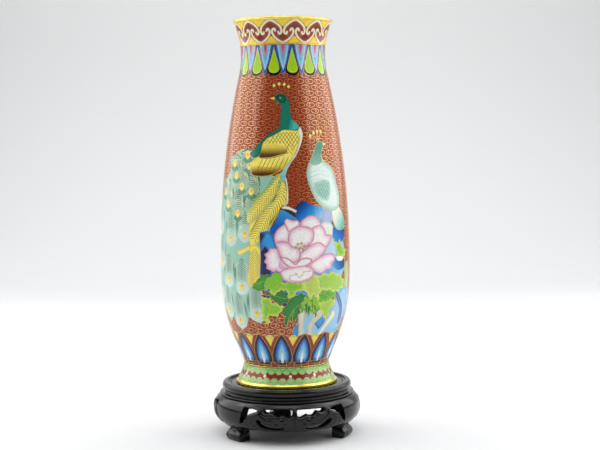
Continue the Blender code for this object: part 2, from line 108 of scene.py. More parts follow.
def finish(name, tones, patch, gloss, metal=0.0, bump=(0.5, 0.02), stretch=(1, 1, 1), paint=None):
    """A finish that wanders between two tones over patches of a size, with a fine uneven surface.

    Noise over the object picks the tone and the roughness, and a finer noise makes the bump.
    Where paint names an attribute, the tones multiply its colour.
    """
    material = bpy.data.materials.new(name)
    material.use_nodes = True
    tree = material.node_tree
    link = tree.links.new
    shader = tree.nodes["Principled BSDF"]
    shader.inputs["Metallic"].default_value = metal
    scale = add_node(tree, "Mapping", {"Scale": stretch})
    link(add_node(tree, "TexCoord").outputs["Object"], scale.inputs["Vector"])
    patches = add_node(tree, "TexNoise", {"Scale": 1 / (patch * MM), "Detail": 4})
    link(scale.outputs["Vector"], patches.inputs["Vector"])
    tone = add_node(tree, "ValToRGB")
    for stop, position, shade in zip(tone.color_ramp.elements, (0.32, 0.68), tones):
        stop.position = position
        stop.color = (*shade, 1)
    link(patches.outputs["Fac"], tone.inputs["Fac"])
    colour = tone.outputs["Color"]
    if paint:
        painted = add_node(tree, "Attribute")
        painted.attribute_name = paint
        product = add_node(tree, "Mix")
        product.data_type = "RGBA"
        product.blend_type = "MULTIPLY"
        product.inputs["Factor"].default_value = 1
        link(painted.outputs["Color"], product.inputs["A"])
        link(colour, product.inputs["B"])
        colour = product.outputs["Result"]
    link(colour, shader.inputs["Base Color"])
    rough = add_node(tree, "MapRange", {"To Min": gloss[0], "To Max": gloss[1]})
    link(patches.outputs["Fac"], rough.inputs["Value"])
    link(rough.outputs["Result"], shader.inputs["Roughness"])
    fine = add_node(tree, "TexNoise", {"Scale": 1 / (bump[0] * MM), "Detail": 3})
    link(scale.outputs["Vector"], fine.inputs["Vector"])
    uneven = add_node(tree, "Bump", {"Distance": bump[1] * MM})
    link(fine.outputs["Fac"], uneven.inputs["Height"])
    link(uneven.outputs["Normal"], shader.inputs["Normal"])
    return material


def refinish(material, *names):
    """Give CAD nodes that keep their own mesh a new material in every slot."""
    for name in names:
        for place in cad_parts[name].material_slots:
            place.material = material


COPPER_TONES = (srgb(150, 82, 56), srgb(205, 128, 96))
bare_copper = finish("bare_copper", COPPER_TONES, 6.0, (0.28, 0.5), metal=1.0, bump=(1.2, 0.05))
refinish(bare_copper, "neck_copper", "upper_body_copper", "lower_body_copper", "foot_copper",
         "base_copper")

# ---------------------------------------------------------------------------------------------
# Counter enamel. A thin sky-blue glass fired on the inside of the body and under its base, so
# that the copper doesn't warp. It is less polished than the outside and pooled a little.


def around(radius, angle, height):
    """Points at radii and heights, at angles in radians from the front towards +X."""
    radius, angle, height = np.broadcast_arrays(radius, angle, height)
    return np.stack([radius * np.sin(angle), -radius * np.cos(angle), height], axis=-1)


def turned(name, outline, material, body, node, ring=True, sides=192):
    """An outline of radii and heights, outer side running up, carried round the axis.

    A ring's outline is closed. A disc's starts and ends near the axis, where flat faces close it.
    """
    radii, heights = np.asarray(outline, float).T[:, :, None]
    points = around(radii, np.radians(np.arange(sides) * 360 / sides), heights)
    return surface(name, points, material, body, node, wrap=ring)


def surface(name, points, material, body, node, wrap=False, sharp=40):
    """Quads over a grid of points in millimetres: rows x columns, closed both ways if wrapped."""
    rows, columns = points.shape[:2]
    index = np.arange(rows * columns).reshape(rows, columns)
    last = 0 if wrap else 1
    a = index[: rows - last]
    b = np.roll(index, -1, axis=0)[: rows - last]
    quads = np.stack([a, np.roll(a, -1, axis=1), np.roll(b, -1, axis=1), b], axis=-1).reshape(-1, 4)
    faces = quads.tolist()
    if not wrap:
        faces += [index[0][::-1].tolist(), index[-1].tolist()]
    return made(name, points.reshape(-1, 3) * MM, faces, material, body, node, sharp)


def made(name, points, faces, material, body, node=None, sharp=40):
    """A piece from points in metres and faces, smooth except at edges sharper than an angle.

    It rides on a body and, where a node is named, stands in for that CAD node.
    """
    mesh = bpy.data.meshes.new(name)
    mesh.from_pydata(np.asarray(points).tolist(), [], faces)
    mesh.materials.append(material)
    mesh.shade_smooth()
    mesh.set_sharp_from_angle(angle=math.radians(sharp))
    piece = bpy.data.objects.new(name, mesh)
    bpy.context.scene.collection.objects.link(piece)
    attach(piece, body)
    if node:
        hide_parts(node)
    return piece


def wall_outline(low, high, depth, thickness, step=2.5):
    """Up the vase at a depth under the enamel's surface, and down again a thickness deeper."""
    heights = np.linspace(low, high, max(3, round((high - low) / step)))
    out = np.stack([vase_radius(heights) - depth, heights + FOOT_AT], axis=1)
    back = out[::-1] - (thickness, 0)
    return np.concatenate([out, back])


# Sizes of the lining: its thickness, its depth under the outside of the enamel, its flat floor
LINING = 0.4
LINING_DEPTH = ENAMEL + 1.6
FLOOR = ANKLE + 0.8
FLOOR_R = ANKLE_R - 6
# Radius of the flat face that closes a disc at the axis
POLE_R = 0.6


def lining_outline():
    """From the middle of the floor out and up the wall, then back down a thinner skin inside."""
    wall = wall_outline(FLOOR, MOUTH - RIM_OVER_EDGE, LINING_DEPTH, LINING)
    low, high = FLOOR + FOOT_AT, FLOOR + LINING + FOOT_AT
    return np.concatenate([[(POLE_R, low), (FLOOR_R, low)], wall, [(FLOOR_R, high), (POLE_R, high)]])


LINING_TONES = (srgb(58, 140, 178), srgb(84, 168, 200))
counter_enamel = finish("counter_enamel", LINING_TONES, 3.0, (0.14, 0.26), bump=(1.6, 0.08))
refinish(counter_enamel, "base_enamel", "counter_enamel_lining")
turned("counter_enamel_skin", lining_outline(), counter_enamel, "vase",
       "counter_enamel_lining", ring=False)

# ---------------------------------------------------------------------------------------------
# Enamel skins. Glass ground to powder is packed wet into every cell between the wires, fired and
# ground flush, in three bands. One closed skin per band holds all its cells edge to edge.

enamel_glass = finish(
    "enamel_glass", ((0.8,) * 3, (1.1,) * 3), 0.8, (0.12, 0.2), bump=(0.45, 0.014), paint="glaze"
)
enamel_glass.node_tree.nodes["Principled BSDF"].inputs["IOR"].default_value = 1.5


def rounded(points, closed=True, steps=4, crisp=False):
    """A smooth path through points: cubic spans, with slopes that die away at sharp turns."""
    points = np.asarray(points, float)
    before, after = np.roll(points, 1, axis=0), np.roll(points, -1, axis=0)
    if not closed:
        before[0], after[-1] = points[0] * 2 - points[1], points[-1] * 2 - points[-2]
    came, goes = points - before, after - points
    long_in, long_out = np.linalg.norm(came, axis=1), np.linalg.norm(goes, axis=1)
    straight = (came * goes).sum(1) / (long_in * long_out + 1e-9)
    slope = came / (long_in[:, None] + 1e-9) + goes / (long_out[:, None] + 1e-9)
    slope /= np.linalg.norm(slope, axis=1)[:, None] + 1e-9
    ease = np.clip((straight - 0.45) / 0.5, 0, 1) if crisp else np.clip((straight + 0.3) / 1.1, 0, 1)
    slope *= (np.minimum(long_in, long_out) * ease)[:, None]
    ends, end_slopes = np.roll(points, -1, axis=0), np.roll(slope, -1, axis=0)
    if not closed:
        last = points[-1:]
        points, slope, ends, end_slopes = points[:-1], slope[:-1], ends[:-1], end_slopes[:-1]
    t = (np.arange(steps) / steps)[None, :, None]
    path = (
        (2 * t**3 - 3 * t**2 + 1) * points[:, None]
        + (t**3 - 2 * t**2 + t) * slope[:, None]
        + (3 * t**2 - 2 * t**3) * ends[:, None]
        + (t**3 - t**2) * end_slopes[:, None]
    ).reshape(-1, 2)
    return path if closed else np.concatenate([path, last])


def mm_per_degree(height):
    """Length of one degree round the vase at a height."""
    return vase_radius(np.asarray(height, float)) * math.pi / 180


def scales_of(path):
    """The factors that turn a path's degrees and heights into millimetres both ways."""
    return np.stack([mm_per_degree(path[:, 1]), np.ones(len(path))], axis=1)


def edge_distance(points, path):
    """Distance from each point to the nearest straight stretch of a closed path, as a matrix."""
    start, along = path[None], (np.roll(path, -1, axis=0) - path)[None]
    away = points[:, None] - start
    share = (away * along).sum(-1) / ((along**2).sum(-1) + 1e-12)
    return np.linalg.norm(away - np.clip(share, 0, 1)[..., None] * along, axis=-1).min(1)


def inside(points, path):
    """Whether points lie in a closed path: a ray to the right crosses it an odd number of times."""
    x, y = points[:, :1], points[:, 1:]
    ax, ay = path[None, :, 0], path[None, :, 1]
    bx, by = np.roll(path, -1, axis=0).T[:, None, :]
    crosses = (ay > y) != (by > y)
    reach = ax + (y - ay) * (bx - ax) / np.where(by == ay, 1e-12, by - ay)
    return (crosses & (x < reach)).sum(1) % 2 == 1


def inset(path, depth, squeeze):
    """Points a depth inside a closed path, found along its inward normals; strays are dropped."""
    flat = path * (squeeze, 1)
    along = np.roll(flat, -1, axis=0) - np.roll(flat, 1, axis=0)
    turning = (flat[:, 0] * np.roll(flat[:, 1], -1) - np.roll(flat[:, 0], -1) * flat[:, 1]).sum()
    inward = np.stack([-along[:, 1], along[:, 0]], axis=1) * np.sign(turning)
    inner = flat + depth * inward / (np.linalg.norm(inward, axis=1)[:, None] + 1e-9)
    kept = inside(inner, flat) & (edge_distance(inner, flat) > 0.9 * depth)
    return inner[kept] / (squeeze, 1)


# The cells of the band in hand, in the order they are laid, and the free wires drawn on them
design = []
drawn = []
# A depth past the middle of every cell, at which a colour needs no points of its own
INNERMOST = 9


def sited(points, site):
    """Points of a motif set down at a turn round the vase, mirrored where the hand is -1."""
    turn, hand = site
    return np.asarray(points, float) * (hand, 1) + (turn, 0)


def fill(points, colours, at=(0, 1.5), fade=None, wired=True, site=(0, 1), steps=4, crisp=False):
    """Lay a cell over those already laid.

    Its colours blend inwards from its wire, at depths given in millimetres, or between the two
    ends of a fade, where at holds shares of the way.
    """
    path = sited(points, site)
    path = rounded(path, steps=steps, crisp=crisp) if steps else path
    squeeze = float(mm_per_degree(path[:, 1].mean()))
    if fade is not None:
        fade = sited(fade, site)
    if not isinstance(colours[0], tuple):
        colours, at = [colours, colours], (0, INNERMOST)
    cell = dict(path=path, colours=np.array(colours), at=at, fade=fade, squeeze=squeeze)
    cell["wired"] = wired
    cell["rings"] = [] if fade is not None else [inset(path, d, squeeze) for d in at if 0 < d < INNERMOST]
    design.append(cell)
    return path


def outline_of(points, width, steps=4, taper=0.0):
    """The closed edge of a thick line: its path offset by half a width to either side."""
    path = rounded(points, closed=False, steps=steps) if steps else np.asarray(points, float)
    scales = scales_of(path)
    flat = path * scales
    along = np.gradient(flat, axis=0)
    side = np.stack([-along[:, 1], along[:, 0]], axis=1)
    side /= np.linalg.norm(side, axis=1)[:, None] + 1e-9
    ends = np.minimum(np.arange(len(path)), np.arange(len(path))[::-1])
    half = width / 2 * np.where(ends == 0, 1 - taper, 1)[:, None]
    edges = [(flat + hand * half * side) / scales for hand in (1, -1)]
    return np.concatenate([edges[0], edges[1][::-1]])


def stroke(points, width, colour, steps=3, taper=0.0, site=(0, 1), within=None, wired=False):
    """A narrow cell along a line, kept to the part of the line inside another cell."""
    points = sited(points, site)
    path = rounded(points, closed=False, steps=steps) if steps else points
    if within is not None:
        path = path[inside(path, within)]
    if len(path) > 1:
        fill(outline_of(path, width, steps=0, taper=taper), colour, wired=wired, steps=0)


def draw(points, site=(0, 1), within=None, steps=4):
    """Bend a wire along an open line that bounds no cell."""
    path = rounded(sited(points, site), closed=False, steps=steps)
    if within is not None:
        path = path[inside(path, within)]
    if len(path) > 1:
        drawn.append((len(design) - 0.5, path, False))


def repeats(count, first=0.0):
    """Places of a motif that repeats evenly round the vase, as turns from -180 to 180."""
    return [(first + 360 * k / count + 180) % 360 - 180 for k in range(count)]


def mirrored(half):
    """A closed outline from its right half, given from the top or bottom point to the other."""
    half = np.asarray(half, float)
    return np.concatenate([half, (half * (-1, 1))[::-1][1:-1]])


def on_vase(path, lift):
    """Metres of a point at an angle and a height, lifted off the enamel along its normal."""
    angle, height = np.radians(path[..., 0]), path[..., 1]
    radius = vase_radius(height)
    lean = (vase_radius(height + 0.05) - vase_radius(height - 0.05)) / 0.1
    out = lift / np.sqrt(1 + lean**2)
    reach, up = radius + out, height - lean * out + FOOT_AT
    return around(reach, angle, up) * MM


def cell_colours(cell, points):
    """Each point's colour: how far it is in from the cell's wire, or along the cell's fade."""
    flat = (cell["squeeze"], 1)
    if cell["fade"] is not None:
        start, end = cell["fade"] * flat
        span = end - start
        share = ((points * flat - start) @ span) / (span @ span)
    else:
        share = edge_distance(points * flat, cell["path"] * flat)
    return np.stack([np.interp(share, cell["at"], band) for band in cell["colours"].T], axis=1)


def loop_edges(count, path):
    """The closed loop of edges through a path's points, numbered from count."""
    index = count + np.arange(len(path))
    return np.stack([index, np.roll(index, -1)], axis=1).tolist()


def divided(points, edges):
    """A Delaunay division of flat points that keeps the edges given: points and triangles."""
    result = delaunay_2d_cdt([Vector(p) for p in points.tolist()], edges, [], 0, 1e-5)
    return np.array(result[0])[:, :2], np.array(result[2])


def used_only(points, triangles):
    """Points and triangles without the points that no triangle uses."""
    used, where = np.unique(triangles, return_inverse=True)
    return points[used], where.reshape(-1, 3)


def enamel_skin(name, low, high, ground, node):
    """One closed skin round the vase from low to high, divided along the edges of its cells.

    It is worked out flat, on degrees round by millimetres along a path that runs up the
    outside, in over the top edge, down the back and out again. A Delaunay division of that
    strip keeps every outline; each triangle takes the colours of the cell laid on it last.
    """
    tall = high - low
    knots = np.array([0, tall, tall + ENAMEL, 2 * tall + ENAMEL, 2 * tall + 2 * ENAMEL])
    rows = np.linspace(0, tall, max(4, round(tall / 2.6)))
    fine = np.concatenate([rows, knots[2:]])
    coarse = np.linspace(knots[2], knots[3], max(3, round(tall / 9)))[1:-1]
    grids = [(np.linspace(-180, 180, 145), fine), (np.linspace(-180, 180, 49), coarse)]
    points = np.concatenate([np.stack(np.meshgrid(u, s), -1).reshape(-1, 2) for u, s in grids])
    edges = []
    for seam in (-180, 180):
        column = np.flatnonzero(points[:, 0] == seam)
        column = column[np.argsort(points[column, 1])]
        edges += np.stack([column[:-1], column[1:]], axis=1).tolist()
    blocks, laid, count = [points], [], len(points)
    for number, cell in enumerate(design):
        for turn in (-360, 0, 360):
            path = cell["path"] + (turn, -low)
            if path[:, 0].max() < -180 or path[:, 0].min() > 180:
                continue
            path[:, 1] = np.clip(path[:, 1], 0.04, tall - 0.04)
            edges += loop_edges(count, path)
            laid.append((number, turn, path))
            rings = [ring + (turn, -low) for ring in cell["rings"]]
            rings = [ring[(ring[:, 1] > 0.1) & (ring[:, 1] < tall - 0.1)] for ring in rings]
            blocks += [path, *rings]
            count += len(path) + sum(map(len, rings))
    flat, triangles = divided(np.concatenate(blocks), edges)
    middle = flat[triangles].mean(axis=1)
    kept = (np.abs(middle[:, 0]) < 180) & (middle[:, 1] > 0) & (middle[:, 1] < knots[-1])
    triangles, middle = triangles[kept], middle[kept]
    top = np.full(len(triangles), -1)
    for rank, (_, _, path) in enumerate(laid):
        boxed = (middle > path.min(axis=0)) & (middle < path.max(axis=0))
        near = np.flatnonzero(boxed.all(axis=1))
        top[near[inside(middle[near], path)]] = rank
    glaze = np.ones((len(triangles), 3, 4))
    glaze[..., :3] = ground
    for rank in np.unique(top[top >= 0]):
        number, turn, _ = laid[rank]
        cell = design[number]
        chosen = np.flatnonzero(top == rank)
        used, where = np.unique(triangles[chosen], return_inverse=True)
        colours = cell_colours(cell, flat[used] - (turn, -low))
        glaze[chosen, :, :3] = colours[where.reshape(-1, 3)]
    same = np.arange(len(flat))
    left = np.flatnonzero(np.abs(flat[:, 0] + 180) < 1e-3)
    right = np.flatnonzero(np.abs(flat[:, 0] - 180) < 1e-3)
    same[right] = left[np.abs(flat[right, 1][:, None] - flat[left, 1][None]).argmin(axis=1)]
    first = np.flatnonzero(np.abs(flat[:, 1]) < 1e-3)
    last = np.flatnonzero(np.abs(flat[:, 1] - knots[-1]) < 1e-3)
    same[last] = first[np.abs(flat[last, 0][:, None] - flat[first, 0][None]).argmin(axis=1)]
    same = same[same]
    triangles = same[triangles]
    sound = (triangles != np.roll(triangles, 1, axis=1)).all(axis=1)
    triangles, glaze = triangles[sound], glaze[sound]
    flat, triangles = used_only(flat, triangles)
    height = np.interp(flat[:, 1], knots, [low, high, high, low, low])
    depth = np.interp(flat[:, 1], knots, [0, 0, ENAMEL, ENAMEL, 0])
    place = np.stack([flat[:, 0], height], axis=1)
    face = on_vase(place, np.zeros(len(flat)))
    points = face - around(depth, np.radians(flat[:, 0]), 0) * MM
    normals = on_vase(place, np.ones(len(flat))) - face
    normals /= np.linalg.norm(normals, axis=1)[:, None]
    normals[depth > ENAMEL / 2] *= -1
    skin = made(name, points, triangles.tolist(), enamel_glass, "vase")
    paint = skin.data.color_attributes.new("glaze", "FLOAT_COLOR", "CORNER")
    paint.data.foreach_set("color", glaze.reshape(-1))
    skin.data.normals_split_custom_set_from_vertices(normals.tolist())
    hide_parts(node)


# Width of a wire and how far it stands out; a section is given as shares of the width and lifts
WIRE_W = 0.28
WIRE_PROUD = 0.09
FLAT_WIRE = ((-0.5, -0.12), (-0.3, WIRE_PROUD), (0.3, WIRE_PROUD), (0.5, -0.12))
THIN_WIRE = ((-0.5, -0.05), (-0.4, 0.05), (0.4, 0.05), (0.5, -0.05))


def hidden(middles, orders):
    """Whether each bit of wire is covered by a cell laid after it, or shares that cell's wire."""
    covered = np.zeros(len(middles), bool)
    for number, cell in enumerate(design):
        path = cell["path"]
        centre = (path[:, 0].min() + path[:, 0].max()) / 2
        near = np.flatnonzero((orders < number) & ~covered
                              & (middles[:, 1] > path[:, 1].min() - 0.3)
                              & (middles[:, 1] < path[:, 1].max() + 0.3))
        if not len(near):
            continue
        close = middles[near].copy()
        close[:, 0] = (close[:, 0] - centre + 180) % 360 - 180 + centre
        width = (path[:, 0].max() - path[:, 0].min()) / 2 + 0.5
        side = np.abs(close[:, 0] - centre) < width
        near, close = near[side], close[side]
        if not len(near):
            continue
        flat = (cell["squeeze"], 1)
        touching = edge_distance(close * flat, path * flat) < (0.2 if cell["wired"] else 0.0)
        covered[near] = inside(close, path) | touching
    return covered


def visible_runs(paths):
    """Split each (order, path, closed) into the runs of it that no later cell covers."""
    closed_up = [np.concatenate([p, p[:1]]) if closed else p for _, p, closed in paths]
    middles = np.concatenate([(p[1:] + p[:-1]) / 2 for p in closed_up])
    orders = np.concatenate([np.full(len(p) - 1, entry[0]) for entry, p in zip(paths, closed_up)])
    covered = hidden(middles, orders)
    runs, at = [], 0
    for (_, _, closed), path in zip(paths, closed_up):
        gone = covered[at : at + len(path) - 1]
        at += len(path) - 1
        if closed and gone.any() and not gone.all():
            start = int(np.argmax(gone))
            path = np.concatenate([path[start:-1], path[: start + 1]])
            gone = np.roll(gone, -start)
        shown = np.concatenate([[False], ~gone, [False]])
        starts = np.flatnonzero(shown[1:] & ~shown[:-1])
        stops = np.flatnonzero(~shown[1:] & shown[:-1])
        runs += [path[a : b + 1] for a, b in zip(starts, stops)]
    return runs


def wirework(name, runs, width, section, material):
    """Wires set on the vase: a section of (share of width, lift) carried along every run."""
    points, faces, count, sides = [], [], 0, len(section)
    for run in runs:
        scales = scales_of(run)
        along = np.gradient(run * scales, axis=0)
        side = np.stack([-along[:, 1], along[:, 0]], axis=1) / scales
        side /= np.linalg.norm(along, axis=1)[:, None] + 1e-9
        ring = [on_vase(run + side * width * across, np.full(len(run), lift))
                for across, lift in section]
        points.append(np.stack(ring, axis=1).reshape(-1, 3))
        index = count + np.arange(len(run) * sides).reshape(len(run), sides)
        beside = np.roll(index, -1, axis=1)
        quads = np.stack([index[:-1], index[1:], beside[1:], beside[:-1]], axis=-1)
        faces += quads.reshape(-1, 4).tolist()
        faces += [index[0].tolist(), index[-1][::-1].tolist()]
        count += len(run) * sides
    made(name, np.concatenate(points), faces, material, "vase", sharp=30)


def cell_wires(name):
    """The wires round every wired cell of the design in hand, and the free lines drawn on it."""
    paths = [(n, cell["path"], True) for n, cell in enumerate(design) if cell["wired"]]
    wirework(name, visible_runs(paths + drawn), WIRE_W, FLAT_WIRE, gilt_wire)


GOLD = (srgb(222, 178, 92), srgb(250, 218, 140))
gilt_wire = finish("gilt_wire", GOLD, 2.0, (0.22, 0.38), metal=1.0, bump=(0.6, 0.01))

# ---------------------------------------------------------------------------------------------
# Heart border. Twelve hearts hang point down and twelve stand point up, hooked into each other,
# in cream bands on maroon, with yellow in the gaps. It fills the band under the mouth rim.

CREAM = srgb(250, 240, 214)
MAROON = srgb(128, 44, 36)
RUST = srgb(200, 86, 58)
DARK = srgb(62, 24, 18)
YELLOW = srgb(255, 218, 52)
ROYAL = srgb(24, 84, 176)
HEART_LOW = NECK_BAND + 0.7
HEART_MID = (HEART_LOW + MOUTH - RIM_OVER_EDGE) / 2
HEART_BAND = [(13.4, -0.6), (11.8, -3.6), (6.4, -6.9), (0, -8.8)]
HEART_HOOK = [(9.3, -0.2), (9.6, 1.2), (11.2, 2.1), (12.9, 1.2)]
HEART_TOP = [(12.4, 2.6), (8.4, 4.4), (4.6, 3.2)]


def heart_parts(hand):
    """The band's centreline, hook to hook by way of the point, and the body it closes round."""
    right = HEART_HOOK + HEART_BAND
    left = [(-x, y) for x, y in right[-2::-1]]
    top = HEART_BAND[-2::-1] + HEART_TOP + [(0, 3.7)]
    body = HEART_BAND[-1:] + top + [(-x, y) for x, y in top[-2::-1]]
    flip = (1, hand)
    return np.array(right + left) * flip + (0, HEART_MID), np.array(body) * flip + (0, HEART_MID)


hearts = [(turn, *heart_parts(hand)) for hand, first in ((1, 0), (-1, 15))
          for turn in repeats(12, first)]
for turn, band, body in hearts:
    fill((body - (0, HEART_MID)) * (1.12, 1.07) + (turn, HEART_MID), DARK, wired=False)
for turn, band, body in hearts:
    fill(body + (turn, 0), [RUST, MAROON], at=(0, 3), wired=False)
for width, colour, wired in ((2.6, DARK, False), (1.75, CREAM, True)):
    for turn, band, body in hearts:
        stroke(band + (turn, 0), width, colour, taper=0.4, wired=wired)

HEART_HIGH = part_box("enamel_neck")[1].z / MM - FOOT_AT
enamel_skin("enamel_heart_border", HEART_LOW, HEART_HIGH, YELLOW, "enamel_neck")
cell_wires("heart_border_wires")

# ---------------------------------------------------------------------------------------------
# Peacock. The picture round the body is one continuous panel on a rust ground. Its peacock's
# train falls down the left in layers of eyed feathers and long yellow ones.

design = []
drawn = []
TEAL = srgb(24, 108, 88)
DEEP = srgb(10, 62, 54)
FERN = srgb(84, 146, 112)
SAGE = srgb(150, 200, 178)
AQUA = srgb(206, 234, 226)
STRAW = srgb(244, 222, 92)
GOLDEN = srgb(255, 238, 116)
# Dark olive for painted shade: lines on the yellow feathers and back where the gilt wires look dark
OLIVE_WIRE_SHADE = srgb(128, 112, 30)
UMBER = srgb(92, 54, 24)
TURQUOISE = srgb(70, 188, 172)
PALE = srgb(240, 244, 226)
ORANGE = srgb(236, 150, 96)


def barbs(spine, reach, every, width, colour, within, slant=1.0, bend=0.0):
    """Short lines that leave a spine to both sides and lean towards its end, a fixed way apart."""
    spine = rounded(spine, closed=False, steps=8)
    flat = spine * scales_of(spine)
    run = np.concatenate([[0], np.cumsum(np.linalg.norm(np.diff(flat, axis=0), axis=1))])
    for stop in np.arange(every / 2, run[-1], every):
        root = np.array([np.interp(stop, run, axis) for axis in flat.T])
        ahead = np.array([np.interp(stop + 0.5, run, axis) for axis in flat.T]) - root
        ahead /= np.linalg.norm(ahead) + 1e-9
        for hand in (-1, 1):
            lean = ahead * slant + np.array([-ahead[1], ahead[0]]) * hand
            lean /= np.linalg.norm(lean)
            curl = np.array([-lean[1], lean[0]]) * hand * bend
            line = np.array([root, root + lean * reach / 2 + curl * reach / 4, root + lean * reach])
            line /= (np.interp(stop, run, mm_per_degree(spine[:, 1])), 1)
            stroke(line, width, colour, within=within, taper=0.6)


fill([(-34, 194), (-44, 197), (-50.5, 195.5), (-56.5, 192), (-61, 187), (-60.5, 180), (-66.5, 173),
      (-74, 166), (-78, 160), (-90, 154), (-99, 146), (-106, 130), (-108, 110), (-104, 92), (-98, 80),
      (-90, 71), (-77, 66), (-71, 60), (-66, 54.5), (-60, 58), (-56.5, 60.5), (-53.5, 54), (-48.5, 47.5),
      (-43, 53), (-36.5, 60), (-31, 57.5), (-25, 55.5), (-22, 57), (-21, 66), (-20, 78), (-22, 88),
      (-20, 110), (-14, 130), (-5, 150), (-2, 172), (-20, 180)], [SAGE, AQUA], at=(0, 5),
     fade=[(-60, 190), (-60, 70)])


def eyed_feather(turn, height, long, wide, tones, shares, lines, arches):
    """A feather of the train: a hanging lobe that pales towards its yellow eye.

    Arches rule it round the eye, and barbs above them.
    """
    k = float(mm_per_degree(height))
    reach = wide / k
    shape = [(0, -6.5), (reach * 0.6, -4.5), (reach, 2), (reach * 0.9, long * 0.6), (0, long)]
    path = fill(mirrored(shape) + (turn, height), tones, at=shares, wired=False,
                fade=[(turn, height + long), (turn, height - 5)])
    barbs([(turn, height + long), (turn, height + 1 + 1.5 * arches)], wide, 1.6, 0.5, lines, path,
          slant=0.8, bend=0.6)
    for radius in 4 + 1.5 * np.arange(arches):
        turns = np.radians(np.linspace(-25, 205, 12))
        ring = np.stack([np.cos(turns) * 0.8 / k, np.sin(turns)], axis=1) * radius
        stroke(ring + (turn, height), 0.58, lines, within=path, steps=1)
    oval = mirrored([(0, -3.2), (2.0 / k, -1.7), (2.3 / k, 0.8), (1.3 / k, 2.7), (0, 3.2)])
    fill(oval + (turn, height), [STRAW, srgb(250, 230, 110)], at=(0, 1.0))
    spot = mirrored([(0, -1.3), (0.9 / k, 0), (0, 1.5)])
    fill(spot + (turn, height + 0.9), ORANGE, wired=False)


# The train's feathers from the tip up: turn and height of the eye, length above it
LOWER = [(-27, 63, 24), (-48, 56, 24), (-64, 64, 22), (-80, 76, 22), (-59, 90, 22), (-41, 85, 24),
         (-94, 90, 24)]
MIDDLE = [(-74, 104, 24), (-92, 118, 24), (-37, 128, 24), (-55, 124, 24), (-78, 132, 24)]
UPPER = [(-30, 147, 24), (-46, 145, 24), (-61, 152, 22), (-88, 145, 16), (-69, 162, 14), (-31, 163, 20),
         (-42, 167, 20), (-50, 176, 17), (-54, 186, 8), (-34.5, 184, 14), (-37, 192.5, 5)]
MOSS = srgb(66, 118, 92)
MIST = srgb(196, 224, 214)
HAZE = srgb(90, 148, 118)
for layer, wide, tones, shares, lines, arches in (
        (LOWER, 8.8, [HAZE, HAZE, SAGE, AQUA], (0, 0.5, 0.72, 0.95), srgb(228, 242, 230), 2),
        (MIDDLE, 8.8, [FERN, HAZE, MIST], (0, 0.45, 0.85), srgb(214, 234, 214), 4),
        (UPPER, 7.8, [MOSS, MOSS, FERN], (0, 0.4, 0.9), srgb(206, 222, 186), 6)):
    for turn, height, long in layer:
        eyed_feather(turn, height, long, wide, tones, shares, lines, arches)

fill([(-31, 119.5), (-40, 116), (-46, 114), (-43.5, 111), (-33.5, 115), (-29, 117)], [STRAW, GOLDEN])
low_plume = fill([(-31, 120), (-23.5, 119), (-21, 114.5), (-21, 107), (-21.5, 99), (-24.5, 91), (-31, 85),
                  (-33.5, 88), (-34, 95), (-32.5, 106)], [STRAW, GOLDEN], at=(0, 2))
near_plume = fill([(-2.5, 176), (0.5, 170), (2, 160), (1.5, 154), (-3.5, 150.5), (-6.5, 143.5),
                   (-12, 136.5), (-19.5, 128.5), (-24.5, 121.5), (-31, 118.5), (-33, 128), (-31, 138),
                   (-18, 149), (-8, 161)], [STRAW, GOLDEN], at=(0, 2.5))
far_plume = fill([(-3, 178), (-8, 176.5), (-16, 167), (-26, 157), (-34, 147.5), (-34.5, 139), (-31, 137),
                  (-18, 148.5), (-8, 160.5), (-3, 170)], [STRAW, GOLDEN], at=(0, 2))
# The olive barbs on the yellow plumes are painted shade: dark enamel lines laid where gilt wires look
# dark, in place of the wires themselves.
barbs([(-27, 118), (-27, 88)], 9, 2.2, 0.42, OLIVE_WIRE_SHADE, low_plume, slant=1.3)
barbs([(-2, 175), (-3, 160), (-14, 145), (-28, 124)], 12, 2.4, 0.5, OLIVE_WIRE_SHADE, near_plume, slant=1.6, bend=0.5)
barbs([(-3, 176), (-8, 170), (-20, 155), (-33, 141)], 9, 2.4, 0.46, OLIVE_WIRE_SHADE, far_plume, slant=1.2)
stroke([(-5, 177.5), (-16, 166), (-26.5, 156), (-34, 146)], 1.7, srgb(150, 208, 120), wired=True)
stroke([(-3.5, 173), (-8, 161), (-18, 149), (-31, 138)], 1.1, srgb(176, 216, 150), wired=True)
stroke([(-0.5, 178), (1.5, 172), (2.6, 164), (2.2, 154), (-1, 151)], 1.3, PALE, wired=True)

back = fill([(-4.5, 214), (4, 213), (13, 213), (15.8, 208), (14.5, 202), (9, 191.5), (1, 182.5),
             (-6, 179), (-13.5, 176), (-22, 175.5), (-31, 176.5), (-33, 185), (-27, 191.5),
             (-22.5, 196.5), (-21, 202.5), (-12, 209)], [STRAW, GOLDEN], at=(0, 3))
fill([(-33, 184.5), (-22.5, 184), (-13.5, 183), (-3, 187), (5, 190.5), (1, 183.5), (-6, 179.5),
      (-13.5, 176.5), (-22, 175.8), (-31, 177)], [UMBER, UMBER, srgb(196, 156, 60), STRAW], at=(0, 0.3,
                                                                                                0.65, 1),
     wired=False, fade=[(-16, 176), (-16, 184)])
fill([(-22, 200), (-10, 202), (3, 198.5), (3, 195), (-5, 192.5), (-14, 190.8), (-24, 191)],
     [srgb(84, 48, 30), srgb(112, 74, 34), STRAW], at=(0, 0.35, 1), wired=False, fade=[(-10, 191),
                                                                                       (-10, 199.5)])
stroke([(-24, 190.6), (-14, 190.2), (-4, 192), (4, 194.6)], 0.5, UMBER)
scaled = rounded([(-22, 200), (-14, 207), (-3, 213.5), (13, 213), (15.5, 207), (14.5, 202), (8, 192),
                  (3, 198), (-10, 201.5)])
